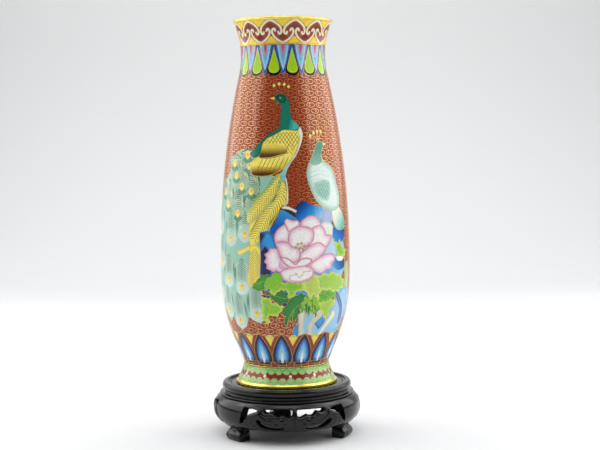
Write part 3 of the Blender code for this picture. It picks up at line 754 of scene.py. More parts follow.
# The olive lines over the yellow back are painted shade in the same way: dark enamel lines where the gilt
# wires look dark.
for step in range(-8, 12):
    for start, first, last in ((-18, 190, 214), (-20, 214, 190)):
        across = start + 3.4 * step
        stroke([(across, first), (across + 20, last)], 0.42, OLIVE_WIRE_SHADE, steps=8, within=scaled)
for step in range(9):
    stroke([(-20 + 4 * step, 190.5 + 0.1 * step), (-27 + 4 * step, 178)], 0.44, OLIVE_WIRE_SHADE, steps=6,
           within=back, taper=0.6)
fill([(13, 215), (17, 215), (19, 209), (17, 202), (11.5, 192), (6, 185.5), (2.5, 180), (1, 175),
      (0, 170), (-4, 176), (-0.5, 181.5), (7, 189), (11.5, 195), (14.5, 202), (15.8, 207.5)],
     [PALE, srgb(120, 206, 208)], at=(0.3, 1), fade=[(15, 210), (0, 174)])
fill([(-10, 240), (-7.5, 241.5), (-4, 242.3), (1, 241.2), (4.5, 239), (6.5, 234.5), (7, 229), (7.8, 224),
      (10, 220.5), (13.5, 218), (16, 214.5), (13, 212.3), (6, 212.6), (0, 213), (-5, 211), (-12, 208),
      (-19, 205), (-21.5, 201), (-22.5, 196.5), (-25, 191.5), (-31, 190.5), (-35, 194), (-29, 199),
      (-21, 206), (-14.5, 210.3), (-7.5, 213), (-4, 216.5), (-4, 222), (-2.8, 228), (-3.2, 233),
      (-6.5, 235), (-10, 237.3)], [TEAL, srgb(28, 124, 100)], at=(0, 1.4))
fill([(-9.5, 239.5), (-4, 241.6), (1, 240.6), (3, 237), (0, 234.5), (-5, 236)], [DEEP, TEAL], at=(0, 2),
     wired=False)
fill([(4, 221), (9, 221), (13, 218.2), (15.8, 214.6), (11, 212.8), (4, 213)], [TEAL, TURQUOISE],
     at=(0.1, 0.7), wired=False, fade=[(3, 218), (14, 216)])
fill([(-4.4, 238.9), (-3.5, 239.6), (-2.7, 238.9), (-3.5, 238.2)], srgb(230, 214, 130))
fill([(-15.8, 238.3), (-10, 240), (-10, 237.3)], [STRAW, PALE])
for turn, height in ((-11, 249), (-5, 250.2), (1, 249.8), (6, 248)):
    k = float(mm_per_degree(height))
    fill(np.array([(1.5 / k, 0), (0, 1.6), (-1.5 / k, 0), (0, -1.6)]) + (turn, height),
         [STRAW, srgb(255, 240, 150)], at=(0, 0.8))
    draw([(-2.5, 242), (turn * 0.55 - 0.5, 245.2), (turn, height - 1.6)])

# ---------------------------------------------------------------------------------------------
# Garden. A pale hen bird on blue rocks, a great pink peony, lobed leaves and tree trunks stand to
# the right of the peacock; the back of the vase carries the same garden turned the other way.

NAVY = srgb(30, 40, 96)
COBALT = srgb(28, 96, 186)
AZURE = srgb(58, 160, 226)
PALEBLUE = srgb(150, 206, 240)
LAVENDER = srgb(150, 168, 214)
PLUM = srgb(128, 70, 92)
BLUSH = srgb(234, 164, 202)
PETAL = srgb(255, 251, 246)
GREEN = srgb(30, 140, 48)
DARKGREEN = srgb(14, 108, 44)
BRIGHT = srgb(134, 204, 44)
LEMON = srgb(208, 230, 92)
BEIGE = srgb(206, 204, 176)
SLATE = srgb(54, 56, 74)

# Cells of rock and trunk: tones, how they are laid, outline
UPPER_ROCKS = [
    ([COBALT, AZURE, PALEBLUE], dict(at=(0, 0.45, 1), fade=[(-20, 112), (60, 112)]),
     [(-22, 130), (-10, 132), (2, 138), (20, 142), (36, 138), (52, 131), (62, 120), (64, 104), (58, 92),
      (40, 84), (20, 76), (0, 72), (-16, 78), (-22, 92), (-21.5, 110)]),
    ([SLATE, NAVY], dict(at=(0, 2), wired=False),
     [(-22, 130), (-10, 122), (-14, 108), (-13, 96), (-22, 90), (-21, 108)]),
    ([NAVY, COBALT, AZURE, PALEBLUE], dict(at=(0, 0.3, 0.65, 1), fade=[(12, 153), (28, 137)]),
     [(13, 154), (17, 155.5), (22.5, 152.5), (31.5, 150.5), (38, 148), (36, 143.5), (32, 139.5),
      (25.5, 141), (19, 140), (14, 138), (8.5, 142), (7.5, 148)]),
    ([COBALT, AZURE], dict(at=(0.2, 1), fade=[(-8, 132), (0, 148)]),
     [(-5, 146), (-2.5, 149), (1.5, 148), (6.5, 144), (10, 141.5), (11, 138), (3.5, 139), (0, 136),
      (-4, 134), (-7.5, 130), (-12, 128), (-13, 133), (-9, 138)]),
    ([COBALT, AZURE], dict(at=(0, 1.6)),
     [(-15, 131.5), (-12, 128.5), (-10, 125), (-8.5, 121), (-8.5, 116), (-13, 115), (-17.5, 119),
      (-22, 114), (-20, 124)]),
    (SLATE, {}, [(-4.5, 149.5), (3.5, 148.8), (9.5, 145.5), (9.5, 142), (5, 144.5), (0, 147.5)]),
    ([LAVENDER, srgb(178, 190, 226)], dict(at=(0, 2)),
     [(36, 148), (47.5, 147), (48.5, 139), (42, 136.5), (36, 137.5), (33, 139), (35.5, 143.5)]),
    ([PALEBLUE, PALE], dict(at=(0, 2)),
     [(36, 138), (43.5, 137), (48, 132), (47, 126), (42, 125.5), (36, 126.5), (36, 131), (32, 135)]),
    ([NAVY, COBALT, AZURE], dict(at=(0, 0.4, 1), fade=[(62, 132), (48, 121)]),
     [(46.5, 133), (55, 133.5), (65, 131.5), (64, 123), (57.5, 120), (52, 119), (46, 124)]),
    ([PALEBLUE, srgb(196, 222, 240)], dict(at=(0, 2)),
     [(43, 126), (47, 123.5), (50, 116), (50.5, 108.5), (44.5, 109), (35.5, 111.5), (37, 116.5),
      (41.5, 121.5)]),
    ([NAVY, COBALT, AZURE], dict(at=(0, 0.5, 1), fade=[(62, 106), (48, 100)]),
     [(47, 107), (56, 108), (63, 107), (63, 99), (52, 97), (46, 101)]),
]

TRUNKS_AND_ROCKS = [
    ([BEIGE, PALE], dict(at=(0, 0.8)),
     [(-3, 150.6), (0.5, 151.8), (7, 149.6), (10.6, 147.6), (9.5, 145.8), (3.5, 148.5), (-2, 149.3)]),
    ([AZURE, PALEBLUE], dict(at=(0, 5)),
     [(6, 49), (10, 55), (13, 63), (17, 68), (24, 68), (34, 67), (43, 67), (50, 77), (56, 81), (64, 86),
      (70, 80), (73, 70), (72, 58), (66, 48), (57, 43), (30, 41), (10, 42)]),
    ([COBALT, AZURE], dict(at=(0, 2.4)), [(33, 49), (40, 56), (44, 63), (40, 69), (31, 64), (26, 57)]),
    ([COBALT, AZURE], dict(at=(0, 1.4)),
     [(6.5, 48.5), (9, 53.5), (11.5, 55), (12, 49), (11, 44), (8, 44)]),
    ([BEIGE, srgb(226, 226, 206)], dict(at=(0, 1.4)),
     [(13, 68), (15.5, 67), (17.3, 62.5), (16.5, 54.5), (19, 44), (13, 43), (12.3, 54.5), (11.3, 61.5)]),
    ([BEIGE, srgb(222, 214, 200)], dict(at=(0, 1.4)),
     [(28, 66), (34.5, 66), (35, 60.5), (28, 55), (26, 50.5), (28.5, 43), (22.5, 43), (21.5, 53.5),
      (25.5, 60)]),
    ([BEIGE, PALE], dict(at=(0, 1.4)),
     [(43.5, 58), (49, 65.5), (53, 60), (45, 52), (40.5, 48), (36, 43), (31.5, 44), (38.5, 52)]),
    ([NAVY, srgb(110, 130, 190)], dict(at=(0, 1.6)),
     [(47.5, 79), (51, 79.5), (57.5, 74), (64.5, 64), (65.5, 54.5), (61, 50), (58.5, 56), (58.5, 64),
      (53.5, 71)]),
    ([srgb(120, 160, 84), srgb(182, 202, 138)], dict(at=(0, 2)),
     [(63, 100), (67, 103), (72.5, 104), (75.5, 92), (74, 82), (69.5, 80), (63, 83), (64, 91)]),
    ([COBALT, PALEBLUE], dict(at=(0, 2)), [(68, 80), (74, 83), (78, 74), (78, 62), (73, 56), (70.5, 66)]),
    (SLATE, {}, [(-11, 76), (4, 78), (12, 75), (13, 68), (8, 64), (1, 62), (-7, 66)]),
]

# Leaves: tones, outline
LEAVES = [
    ([DARKGREEN, GREEN],
     [(-3, 67.5), (0, 70), (2.5, 74.5), (7, 79), (14.5, 80.5), (18, 78.5), (15.5, 73.5), (12.5, 69.5),
      (13, 64), (9, 59), (6, 55), (4, 59), (0, 51.5), (-1.8, 57)]),
    ([LEMON, BRIGHT],
     [(-22, 75), (-21, 78.5), (-15.5, 76.5), (-12.5, 78), (-13, 73.5), (-7.5, 72.5), (-1, 69.5), (-5, 65),
      (-8, 61), (-14, 62.5), (-17, 60), (-13.5, 56), (-18.5, 55), (-22.5, 59.5), (-21.8, 67)]),
    ([GREEN, DARKGREEN], [(16.5, 71.5), (19.5, 73.5), (23, 67), (21, 60.5), (17, 67)]),
    ([GREEN, BRIGHT], [(21, 77), (24.5, 75), (29, 66.5), (27, 63.5), (23, 69)]),
    ([LEMON, srgb(158, 206, 70)],
     [(30, 73), (39, 72.5), (44, 75), (51.5, 71), (47, 67.5), (43.5, 66), (43, 60.5), (39.5, 55),
      (36, 61.5), (32, 66)]),
    ([BRIGHT, srgb(92, 172, 50)],
     [(28, 80), (33, 83), (41, 83), (50, 79), (50, 74.5), (41, 74), (38, 71.5), (30, 72)]),
    ([DARKGREEN, GREEN],
     [(-18.5, 79.5), (-16, 82.5), (-11, 81.5), (-3.5, 84), (2, 80.5), (4, 76.5), (1, 72.5), (-5.5, 72),
      (-11, 74.5), (-13, 77.3)]),
    ([srgb(216, 232, 120), srgb(164, 208, 82)],
     [(27, 87), (29, 94), (36, 96), (47, 96), (57, 93), (63.5, 86.5), (60, 82), (52.5, 79), (45, 80),
      (35, 82.5), (30.5, 81)]),
    ([GREEN, srgb(64, 168, 50)],
     [(-31, 85), (-28, 88.5), (-24, 92.5), (-20.5, 96), (-14.5, 96), (-12, 94.5), (-17, 91), (-18.5, 88),
      (-17, 83), (-25.5, 82.5)]),
    ([LEMON, BRIGHT],
     [(-14, 82), (-14, 88), (-6, 91), (8, 91), (16, 89), (17, 82), (11, 82.5), (6.5, 77.5), (2.5, 76.5),
      (1.5, 82), (-4, 84), (-8, 81), (-10.5, 78.5)]),
    ([srgb(140, 206, 50), BRIGHT],
     [(-19, 83), (-18, 89), (-16, 93.5), (-8, 98), (-3, 97), (0, 92), (-6, 88), (-8, 84.5), (-12, 84)]),
    ([srgb(220, 236, 130), srgb(186, 216, 92)],
     [(14, 88), (17, 93), (22, 97), (29, 94), (30.5, 87.5), (32.5, 81.5), (29, 73.5), (25, 79),
      (22, 74.5), (19.5, 79), (17, 83)]),
    ([LEMON, BRIGHT],
     [(47, 122.5), (52, 119.5), (56, 123), (60, 115), (68, 113), (63.5, 107.5), (53.5, 108), (50, 114)]),
]

# The first petals laid, under the others
OUTER_PETALS = [
    [(-13, 117.5), (-6.5, 117), (-5, 113), (-3, 108), (5, 101), (0.5, 99.5), (-4, 97.5), (-8, 99),
     (-10, 97.8), (-13, 99.5), (-16.5, 101), (-16, 104), (-18.5, 106.5), (-16.5, 109.5), (-18, 112.5),
     (-15, 114.5)],
    [(22, 106.5), (32.5, 110.5), (41, 112), (47.5, 110), (48, 105.5), (44, 103), (44, 99), (38, 98.5),
     (33, 95.5), (24.5, 98), (20, 103)],
    [(13, 135.5), (14, 139), (19, 142.5), (25.5, 143.5), (31, 140), (33, 134.5), (27.5, 131), (23, 130),
     (17.5, 132)],
]

# Petals round the heart of the peony: depth of the shading, tone of the rim, outline
INNER_PETALS = [
    (3.4, BLUSH,
     [(22, 131), (27.5, 135), (33, 135), (37, 131), (38, 127.5), (43.5, 127), (43, 122), (36, 115.5),
      (27, 116), (20, 117)]),
    (3.4, BLUSH,
     [(3, 121), (-2, 122.3), (-8.5, 121.5), (-9.5, 126.5), (-8, 131), (-4, 135), (1, 137.5), (5, 133.5),
      (5, 127)]),
    (2.2, BLUSH,
     [(0, 136), (-0.5, 139.5), (2, 141.5), (6, 140), (11, 140), (13.5, 136.5), (9, 132.5), (4, 130.5),
      (2.5, 131)]),
    (3.4, BLUSH,
     [(3, 116), (2.3, 123), (3.2, 129), (6.5, 133), (11.5, 135), (17, 135), (23, 133), (26, 129.5),
      (24, 122), (16, 117), (10, 116)]),
    (3.4, BLUSH,
     [(11, 112), (16.5, 116), (23.5, 120), (31, 121.5), (38.5, 116.5), (33.5, 111), (24, 105.5),
      (15, 106), (11, 108)]),
    (3.4, BLUSH,
     [(-8.8, 122), (-2, 122.8), (3.5, 121.8), (6, 119), (11, 117.5), (13, 113.5), (12.5, 108.5),
      (8, 105.5), (0, 107), (-4, 110), (-6, 115)]),
    (1.8, srgb(214, 132, 160),
     [(-4.5, 110.2), (0.5, 109.9), (5, 107.5), (8.8, 104.6), (12, 107.7), (17, 109.5), (23.5, 108),
      (22, 104.6), (15, 101.5), (6.5, 101), (0, 104)]),
    (2.4, BLUSH,
     [(-4.5, 98), (-0.5, 100.8), (6.5, 102), (18, 103), (25, 99.5), (25, 95), (21.5, 91.6), (13, 89),
      (5, 89.3), (-2, 92)]),
]


def leaf(points, colours, site, depth=2.4):
    """A lobed leaf with a tooth on every edge, and a wire vein from its middle to each point."""
    corners = sited(points, site)
    middle = corners.mean(axis=0)
    along = np.roll(corners, -1, axis=0) - corners
    across = np.stack([-along[:, 1], along[:, 0]], axis=1)
    across *= np.sign((across * (middle - corners)).sum(axis=1))[:, None]
    teeth = [corners, corners + 0.42 * along + 0.15 * across, corners + 0.6 * along - 0.04 * across]
    path = fill(np.stack(teeth, axis=1).reshape(-1, 2), colours, at=(0, depth), crisp=True, steps=3)
    away = np.linalg.norm(corners - middle, axis=1)
    tips = (away > np.roll(away, 1)) & (away > np.roll(away, -1)) & (away > away.mean() * 0.9)
    for tip in corners[tips]:
        draw([middle, (middle + tip) / 2 + (tip - middle)[::-1] * (0.06, -0.06),
              middle + (tip - middle) * 0.82], within=path)
    return path


def petal_of(points, site, depth=3.4, rim=BLUSH):
    """A peony petal: plum at its wire, pink inside it, fading to cream."""
    path = fill(points, [srgb(176, 96, 138), rim, srgb(250, 218, 232), PETAL],
                at=(0, 0.45, depth * 0.6, depth * 1.3), site=site)
    middle = path.mean(axis=0)
    for start in path[1::3]:
        inwards = (middle - start) / np.linalg.norm((middle - start) * (0.95, 1))
        ray = [start + inwards * 0.8, start + inwards * (depth + 0.6)]
        stroke(ray, 0.34, rim, steps=0, taper=0.8)
    return path


def garden(site):
    """One garden, from the rocks behind to the hen bird in front, in the order it is laid."""
    for tones, how, outline in UPPER_ROCKS:
        fill(outline, tones, site=site, **how)
    draw([(-3, 150.5), (1, 152), (7, 149.6), (10.6, 147.5)], site=site)
    for tones, how, outline in TRUNKS_AND_ROCKS:
        fill(outline, tones, site=site, **how)
    leaf([(10, 76), (16, 79), (24, 80), (34, 78), (41, 74), (38, 69), (36, 64), (31, 66), (28, 59),
          (24, 65), (20, 60), (18, 66), (13, 64), (13, 70)], [GREEN, BRIGHT], site)
    fill([(-22, 79), (-16, 80), (-11, 78), (-13, 73), (-19, 75)], SLATE, site=site)
    for tones, outline in LEAVES:
        leaf(outline, tones, site)
    fill([(49, 108.5), (55, 109), (62.5, 107), (58, 104.5), (51.5, 105.5)], PETAL, site=site)
    for outline in OUTER_PETALS:
        petal_of(outline, site)
    fill([(-6, 102), (0, 118), (14, 122), (28, 112), (20, 100), (8, 98)], [BLUSH, PETAL], at=(0, 6),
         site=site, wired=False)
    for depth, rim, outline in INNER_PETALS:
        petal_of(outline, site, depth, rim)
    fill([(3, 92.5), (4, 95.5), (8, 96), (9, 97.8), (11.5, 93.5), (14, 95), (15.5, 98), (23, 98.6),
          (24, 95), (20.5, 92.4), (13, 90.2), (7, 90.4)], [PLUM, PETAL], at=(0, 0.6), site=site)
    for across, rise in ((9, 118), (11, 120.5), (14, 121), (16.5, 119), (13, 117.5), (15.5, 115.5)):
        fill(np.array([(1.3, 0), (0, 1.3), (-1.3, 0), (0, -1.3)]) + (across, rise),
             [srgb(120, 150, 60), srgb(216, 220, 150)], at=(0, 0.7), site=site)
    fill([(46, 149), (53.5, 150), (59, 147.5), (63.5, 141.5), (66, 134.5), (62, 130.5), (52, 130.8),
          (48, 136), (46.5, 142)], [TURQUOISE, PALE], at=(0.1, 0.9), fade=[(64, 133), (48, 142)],
         site=site)
    body = fill([(32.5, 196.5), (37, 193.5), (39.5, 188), (47, 184), (52, 178.5), (55, 170),
                 (58.5, 158), (57, 150.5), (53, 147.5), (47.5, 146.5), (40, 147.5), (34, 150.5),
                 (29, 155.5), (25, 162), (21.5, 171), (20.5, 177.5), (22.5, 184.5), (27, 191)],
                [SAGE, srgb(226, 240, 232)], at=(0, 5), site=site)
    wing = fill([(27, 170), (36, 172), (45, 171), (46, 163), (42, 155), (34, 156.5), (28, 162)],
                [srgb(190, 222, 208), srgb(150, 198, 180)], at=(0, 3), site=site, wired=False)
    for step in range(7):
        stroke([(24 + 3 * step, 172), (34 + 3 * step, 156)], 0.34, FERN, steps=6,
               site=site, within=wing)
    for row in range(5):
        stroke([(24, 178 - row * 3.5), (34, 180 - row * 3.5), (46, 177.5 - row * 3.5)], 0.3,
               srgb(178, 214, 198), steps=6, site=site, within=body)
    fill([(34, 202.3), (37, 203.4), (41, 202.4), (41.5, 199.5), (38.8, 195.5), (37.4, 191.5),
          (38.6, 187), (34, 184.5), (28, 184), (24, 186), (27.5, 192), (30.5, 197.5)],
         [srgb(70, 150, 122), srgb(134, 190, 168)], at=(0, 1), fade=[(34, 197), (31, 184)], site=site)
    fill([(41, 202.4), (46, 201.4), (41.3, 199.8)], [STRAW, PALE], site=site)
    for across, rise in ((27, 207.5), (31, 210), (35.5, 211.2), (40, 211)):
        line = np.array([(35.5, 204), ((across + 35.5) / 2 - 0.4, 206.6), (across, rise - 1.5)])
        draw(line, site=site)
        fill(np.array([(0, 1.9), (1.5, 0.5), (0, -1.6), (-1.5, 0.5)]) + (across, rise),
             [STRAW, srgb(255, 240, 150)], at=(0, 0.8), site=site)


garden((200, -1))
garden((0, 1))

# ---------------------------------------------------------------------------------------------
# Lappets. Fifteen pointed blue leaves hang from the neck wire, each with a sky-blue leaf and a
# pink wedge inside, and lime drops in black cups lie between their points.

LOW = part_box("enamel_body")[0].z / MM - FOOT_AT
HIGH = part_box("enamel_body")[1].z / MM - FOOT_AT
SKY = srgb(122, 206, 240)
ICE = srgb(206, 232, 248)
CYAN = srgb(58, 180, 230)
LIME = srgb(168, 212, 26)
BLACK = srgb(16, 14, 18)
ROSE = srgb(206, 84, 130)
PINK = srgb(240, 178, 206)

lappet = mirrored([(0, 256.2), (1.5, 259), (4.4, 266.5), (7.6, 276), (9.4, 284), (0, 284.5)])
sky_leaf = mirrored([(0, 261.4), (1.5, 264), (4.3, 270), (6.7, 278), (7.7, 284), (0, 284.5)])
wedge = mirrored([(0, 272), (1.6, 275), (3.2, 280), (3.6, 284), (0, 284.5)])
drop = mirrored([(0, 281), (2.9, 274), (6.4, 266), (7.2, 263), (5.2, 260.3), (0, 259.2)])
cup = mirrored([(0, 256.8), (5.4, 257.7), (8.9, 260.6), (9.6, 264), (7.4, 267), (0, 268)])
gap = mirrored([(0, 284.5), (12.5, 284.5), (12.5, 262), (0, 262)])

for turn in repeats(15, 12):
    fill(gap + (turn, 0), [ROYAL, ROYAL], at=(0, 1), wired=False, steps=0)
for turn in repeats(15, 12):
    fill(cup + (turn, 0), BLACK)
for turn in repeats(15):
    fill(lappet + (turn, 0), [srgb(52, 112, 206), srgb(30, 96, 190)], at=(0, 0.8))
    fill(sky_leaf + (turn, 0), [ICE, SKY, CYAN], at=(0, 1.2, 3.2))
    fill(wedge + (turn, 0), [PINK, ROSE], at=(0, 1.2))
for turn in repeats(15, 12):
    fill(drop + (turn, 0), [srgb(196, 226, 70), LIME], at=(0, 1.4))

# ---------------------------------------------------------------------------------------------
# Petal border. Fifteen upright blue flames edged in black stand round the bottom of the body,
# with yellow kites under pale-green caps between their points.

BROWN = srgb(146, 56, 36)
ground = mirrored([(0, 46.6), (2.2, 45.9), (7.5, 44.2), (12.2, 43.5), (12.2, 10), (0, 10)])
petal = mirrored([(0, 46.3), (3.7, 42.4), (8.2, 35.6), (11.3, 28.2), (11, 22.6), (7.2, 19.6), (0, 19)])
blue = mirrored([(0, 42.4), (2.6, 39.4), (5.9, 33.6), (7.9, 27.6), (7.7, 23.6), (5.4, 21.5), (2.9, 22.2),
                 (1.7, 24.4), (0, 25.2)])
flame = mirrored([(0, 38), (2.2, 34.5), (4.4, 29.4), (5.2, 25.4), (4.2, 23.3), (2.6, 23.8), (0, 26.4)])
heart = mirrored([(0, 31.8), (1.4, 28.6), (2.1, 24.8), (1.5, 21.6), (0, 20.6)])
kite = mirrored([(0, 43.1), (4.9, 43.8), (2.3, 39.9), (0, 36)])
cap = mirrored([(0, 45.7), (2.1, 45.2), (3.7, 43.9), (0, 43.3)])
tips = repeats(15, -5)

for turn in tips:
    fill(ground + (turn, 0), [BROWN, BROWN], at=(0, 9), wired=False, steps=0)
for turn in tips:
    arc = np.array([(-12, 43.6), (-7.5, 44.3), (-2.2, 45.9), (0, 46.6)])
    draw(arc + (turn, 0))
    draw(arc * (-1, 1) + (turn, 0))
    fill(petal + (turn, 0), BLACK)
    fill(blue + (turn, 0), [srgb(36, 86, 184), srgb(84, 150, 230)], at=(0, 2.0), wired=False)
    fill(flame + (turn, 0), [srgb(112, 184, 236), srgb(132, 214, 236)], at=(0, 1.4), wired=False)
    fill(heart + (turn, 0), [ICE, srgb(250, 250, 244)], at=(0, 0.7), wired=False)
for turn in repeats(15, 7):
    fill(cap + (turn, 0), srgb(186, 222, 128))
    fill(kite + (turn, 0), [YELLOW, srgb(255, 228, 96)], at=(0, 1.5))

# ---------------------------------------------------------------------------------------------
# Ground and wires of the body. The rust ground is covered with small wire scrolls like clouds,
# which hold the broad field of enamel on and stop wherever a motif begins.

TERRACOTTA = srgb(150, 52, 26)
enamel_skin("enamel_body_picture", LOW, HIGH, TERRACOTTA, "enamel_body")
cell_wires("picture_wires")

# A cloud scroll: a turn and a half of an eight-sided ellipse that grows from its inner end
swirl = np.radians(45 * np.arange(13) - 90)
grown = np.interp(np.arange(13), [0, 3, 5, 12], [0.28, 0.46, 1.0, 1.0])
SCROLL = np.stack([3.9 * grown * np.cos(swirl), 2.05 * grown * np.sin(swirl)], axis=1)
CLOUD_PITCH = 9.2
CLOUD_ROW = 4.85
CLOUD_ROWS = 45
CLOUD_LOW = 44
cloud_paths = []
for row in range(CLOUD_ROWS):
    height = CLOUD_LOW + row * CLOUD_ROW
    squeeze = float(mm_per_degree(height))
    across = round(360 * squeeze / CLOUD_PITCH)
    for turn in repeats(across, 180 / across * (row % 2)):
        unit = SCROLL * ((-1) ** row * 360 / across / CLOUD_PITCH, 1.0)
        cloud_paths.append((-1, unit + (turn, height), False))
cloud_tones = (srgb(238, 176, 100), srgb(252, 214, 144))
cloud_wire = finish("cloud_wire", cloud_tones, 2.0, (0.3, 0.45), metal=1.0, bump=(0.6, 0.01))
wirework("cloud_wires", visible_runs(cloud_paths), 0.38, THIN_WIRE, cloud_wire)

# ---------------------------------------------------------------------------------------------
# Foot band. Two rows of pale-green scallops hang from the ankle wire and two stand on the foot
# rim, with white dots on the maroon strip between them.

design = []
drawn = []
JADE = srgb(160, 214, 134)
LEAFGREEN = srgb(96, 188, 96)
FOOT_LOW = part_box("enamel_foot")[0].z / MM - FOOT_AT
FOOT_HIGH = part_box("enamel_foot")[1].z / MM - FOOT_AT
scallop = mirrored([(0, 0), (2.7, 0.5), (4.6, 2.0), (5.0, 4.0), (5.0, 8.0), (0, 8.0)])

for drop, shift, tone in ((11.0, 0, JADE), (13.6, 5, LEAFGREEN)):
    for turn in repeats(36, shift):
        fill(scallop + (turn, drop), [tone, JADE], at=(0, 1.6))
for top, shift, tone in ((8.4, 5, JADE), (5.8, 0, LEAFGREEN)):
    for turn in repeats(36, shift):
        fill(scallop * (1, -1) + (turn, top), [tone, JADE], at=(0, 1.6))
for turn in repeats(11, 4.6):
    circle = np.radians(np.arange(8) * 45)
    spot = np.stack([np.cos(circle) * 1.9, np.sin(circle) * 1.25], axis=1)
    fill(spot + (turn, 9.7), srgb(252, 250, 244))
enamel_skin("enamel_foot_band", FOOT_LOW, FOOT_HIGH, srgb(142, 48, 44), "enamel_foot")
cell_wires("foot_band_wires")

# ---------------------------------------------------------------------------------------------
# Gilt rings. The mouth and foot rims are heavy brass-gilt rings that close the copper and both
# enamels, and two wires mark the neck and the ankle. They are turned, soldered on and gilded.


def arc(centre, size, start, end, steps=9):
    """Points on an ellipse from one angle to another, counted from outwards towards up."""
    turn = np.radians(np.linspace(start, end, steps))
    return np.stack([centre[0] + size[0] * np.cos(turn), centre[1] + size[1] * np.sin(turn)], axis=1)


def gilt_ring(node, outline):
    """A ring of the vase turned to an outline, in place of its CAD node."""
    turned("gilt_" + node, outline, rim_gilt, "vase", node)


RIM_WALL = 3.0
RIM_GOLD = (srgb(232, 196, 70), srgb(255, 232, 120))
rim_gilt = finish("rim_gilt", RIM_GOLD, 5.0, (0.14, 0.3), metal=0.8, bump=(0.8, 0.02))
rim_low, rim_high = (corner.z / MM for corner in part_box("mouth_rim"))
low_r = float(vase_radius(rim_low - FOOT_AT))
gilt_ring("mouth_rim", np.concatenate([
    [(low_r + PROUD - RIM_WALL, rim_low), (low_r + PROUD, rim_low)],
    arc((MOUTH_R - RIM_WALL / 2, rim_high - 1.2), (RIM_WALL / 2 + PROUD, 1.2), 0, 180, 15),
]))

rim_low, rim_high = (corner.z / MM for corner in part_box("foot_rim"))
high_r = float(vase_radius(rim_high - FOOT_AT))
overlap = rim_high + 0.7
gilt_ring("foot_rim", np.concatenate([
    arc((FOOT_R - 0.6, rim_low + 0.7), (0.6 + PROUD, 0.7), -90, 0, 5),
    [(FOOT_R + PROUD, rim_high - 0.8), (high_r + PROUD, rim_high)],
    [(float(vase_radius(overlap - FOOT_AT)) + PROUD, overlap), (high_r - RIM_WALL, overlap)],
    [(FOOT_R - RIM_WALL, rim_low + 0.6), (FOOT_R - RIM_WALL + 0.5, rim_low)],
]))

for name in ("neck_wire", "ankle_wire"):
    low, high = (corner.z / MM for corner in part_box(name))
    radius = float(vase_radius((low + high) / 2 - FOOT_AT))
    bead = arc((radius - 0.3, (low + high) / 2), (0.3 + PROUD, (high - low) / 2), -90, 90, 9)
    gilt_ring(name, np.concatenate([bead, [(radius - ENAMEL, high), (radius - ENAMEL, low)]]))

# ---------------------------------------------------------------------------------------------
# Stand rings. Turned hardwood under black lacquer: a rounded top ring with a stepped recess, the
# board the vase stands on, and a waist ring with a bead that overhangs the legs.

LACQUER_TONES = (srgb(5, 5, 5), srgb(17, 15, 15))
lacquer = finish(
    "black_lacquer", LACQUER_TONES, 7.0, (0.09, 0.24), bump=(0.9, 0.04), stretch=(1, 1, 2.5)
)
lacquer.node_tree.nodes["Principled BSDF"].inputs["Specular IOR Level"].default_value = 0.36
ring_low, ring_high = (corner.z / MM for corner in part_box("stand_top_ring"))
ring_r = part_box("stand_top_ring")[1].x / MM
seat_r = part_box("stand_seat_panel")[1].x / MM
seat_low, seat_high = (corner.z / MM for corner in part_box("stand_seat_panel"))
RECESS_R = seat_r + 0.3
# The ledge under the seat, the rounding of the top ring's edge, the depth of the waist ring
LEDGE = 4.3
ROUND = 2.5
WAIST_WALL = 11.3
ring_mid = (ring_low + ring_high) / 2
ring_outline = np.concatenate([
    [(RECESS_R - LEDGE, ring_low), (ring_r - ROUND, ring_low)],
    arc((ring_r - ROUND, ring_mid), (ROUND, (ring_high - ring_low) / 2), -84, 84, 15),
    [(ring_r - ROUND - 0.6, ring_high), (RECESS_R + 2.6, ring_high)],
    arc((RECESS_R + 2.6, ring_high - 0.5), (0.4, 0.5), 90, 180, 4),
    [(RECESS_R + 2.2, ring_high - 1.0), (RECESS_R + 0.3, ring_high - 1.0)],
    [(RECESS_R, ring_high - 1.3), (RECESS_R, seat_low - 0.3), (RECESS_R - LEDGE, seat_low - 0.3)],
])
seat_outline = np.concatenate([
    [(POLE_R, seat_low), (seat_r, seat_low), (seat_r, seat_high - 0.5)],
    arc((seat_r - 0.5, seat_high - 0.5), (0.5, 0.5), 0, 90, 4),
    [(seat_r - 3, seat_high), (POLE_R, seat_high)],
])
waist_low, waist_high = (corner.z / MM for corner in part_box("stand_waist_ring"))
bead_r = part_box("stand_waist_ring")[1].x / MM
waist_r = bead_r - 4.5
waist_outline = np.concatenate([
    [(waist_r - WAIST_WALL, waist_low), (bead_r - 0.8, waist_low)],
    arc((bead_r - 0.7, waist_low + 0.65), (0.7, 0.65), -80, 80, 7),
    [(waist_r + 0.5, waist_low + 1.4)],
    arc((waist_r + 0.6, waist_low + 2.0), (0.6, 0.6), 250, 180, 4),
    [(waist_r, waist_high), (waist_r - WAIST_WALL, waist_high)],
])
for piece, outline, ring in (("top_ring", ring_outline, True), ("seat_panel", seat_outline, False),
                             ("waist_ring", waist_outline, True)):
    turned("lacquered_" + piece, outline, lacquer, "stand", "stand_" + piece, ring)

# ---------------------------------------------------------------------------------------------
# Legs. Three bowed legs of carved hardwood end in scrolled feet that turn outwards. Each is
# dowelled into the waist ring, and its edges are eased under the lacquer.

LEG_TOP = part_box("leg_1")[1].z / MM
APRON_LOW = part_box("apron_1")[0].z / MM
ANKLE_RISE = 9.5
# How far the barrel of the frame bows out, and the toe below the ankle
BULGE = 5.5
TOE = 3.8
VOLUTE_RISE = 4.2
VOLUTE_R = 4.6
LEG_TURNS = (-54, 66, 186)


def frame_radius(height):
    """Outside radius of legs and aprons above the ankle: a bowed barrel."""
    share = (height - ANKLE_RISE) / (LEG_TOP - ANKLE_RISE)
    swell = 1 - (np.abs(share - 0.6) / np.where(share > 0.6, 0.4, 0.5)) ** 2.5
    return bead_r - 0.3 + BULGE * swell


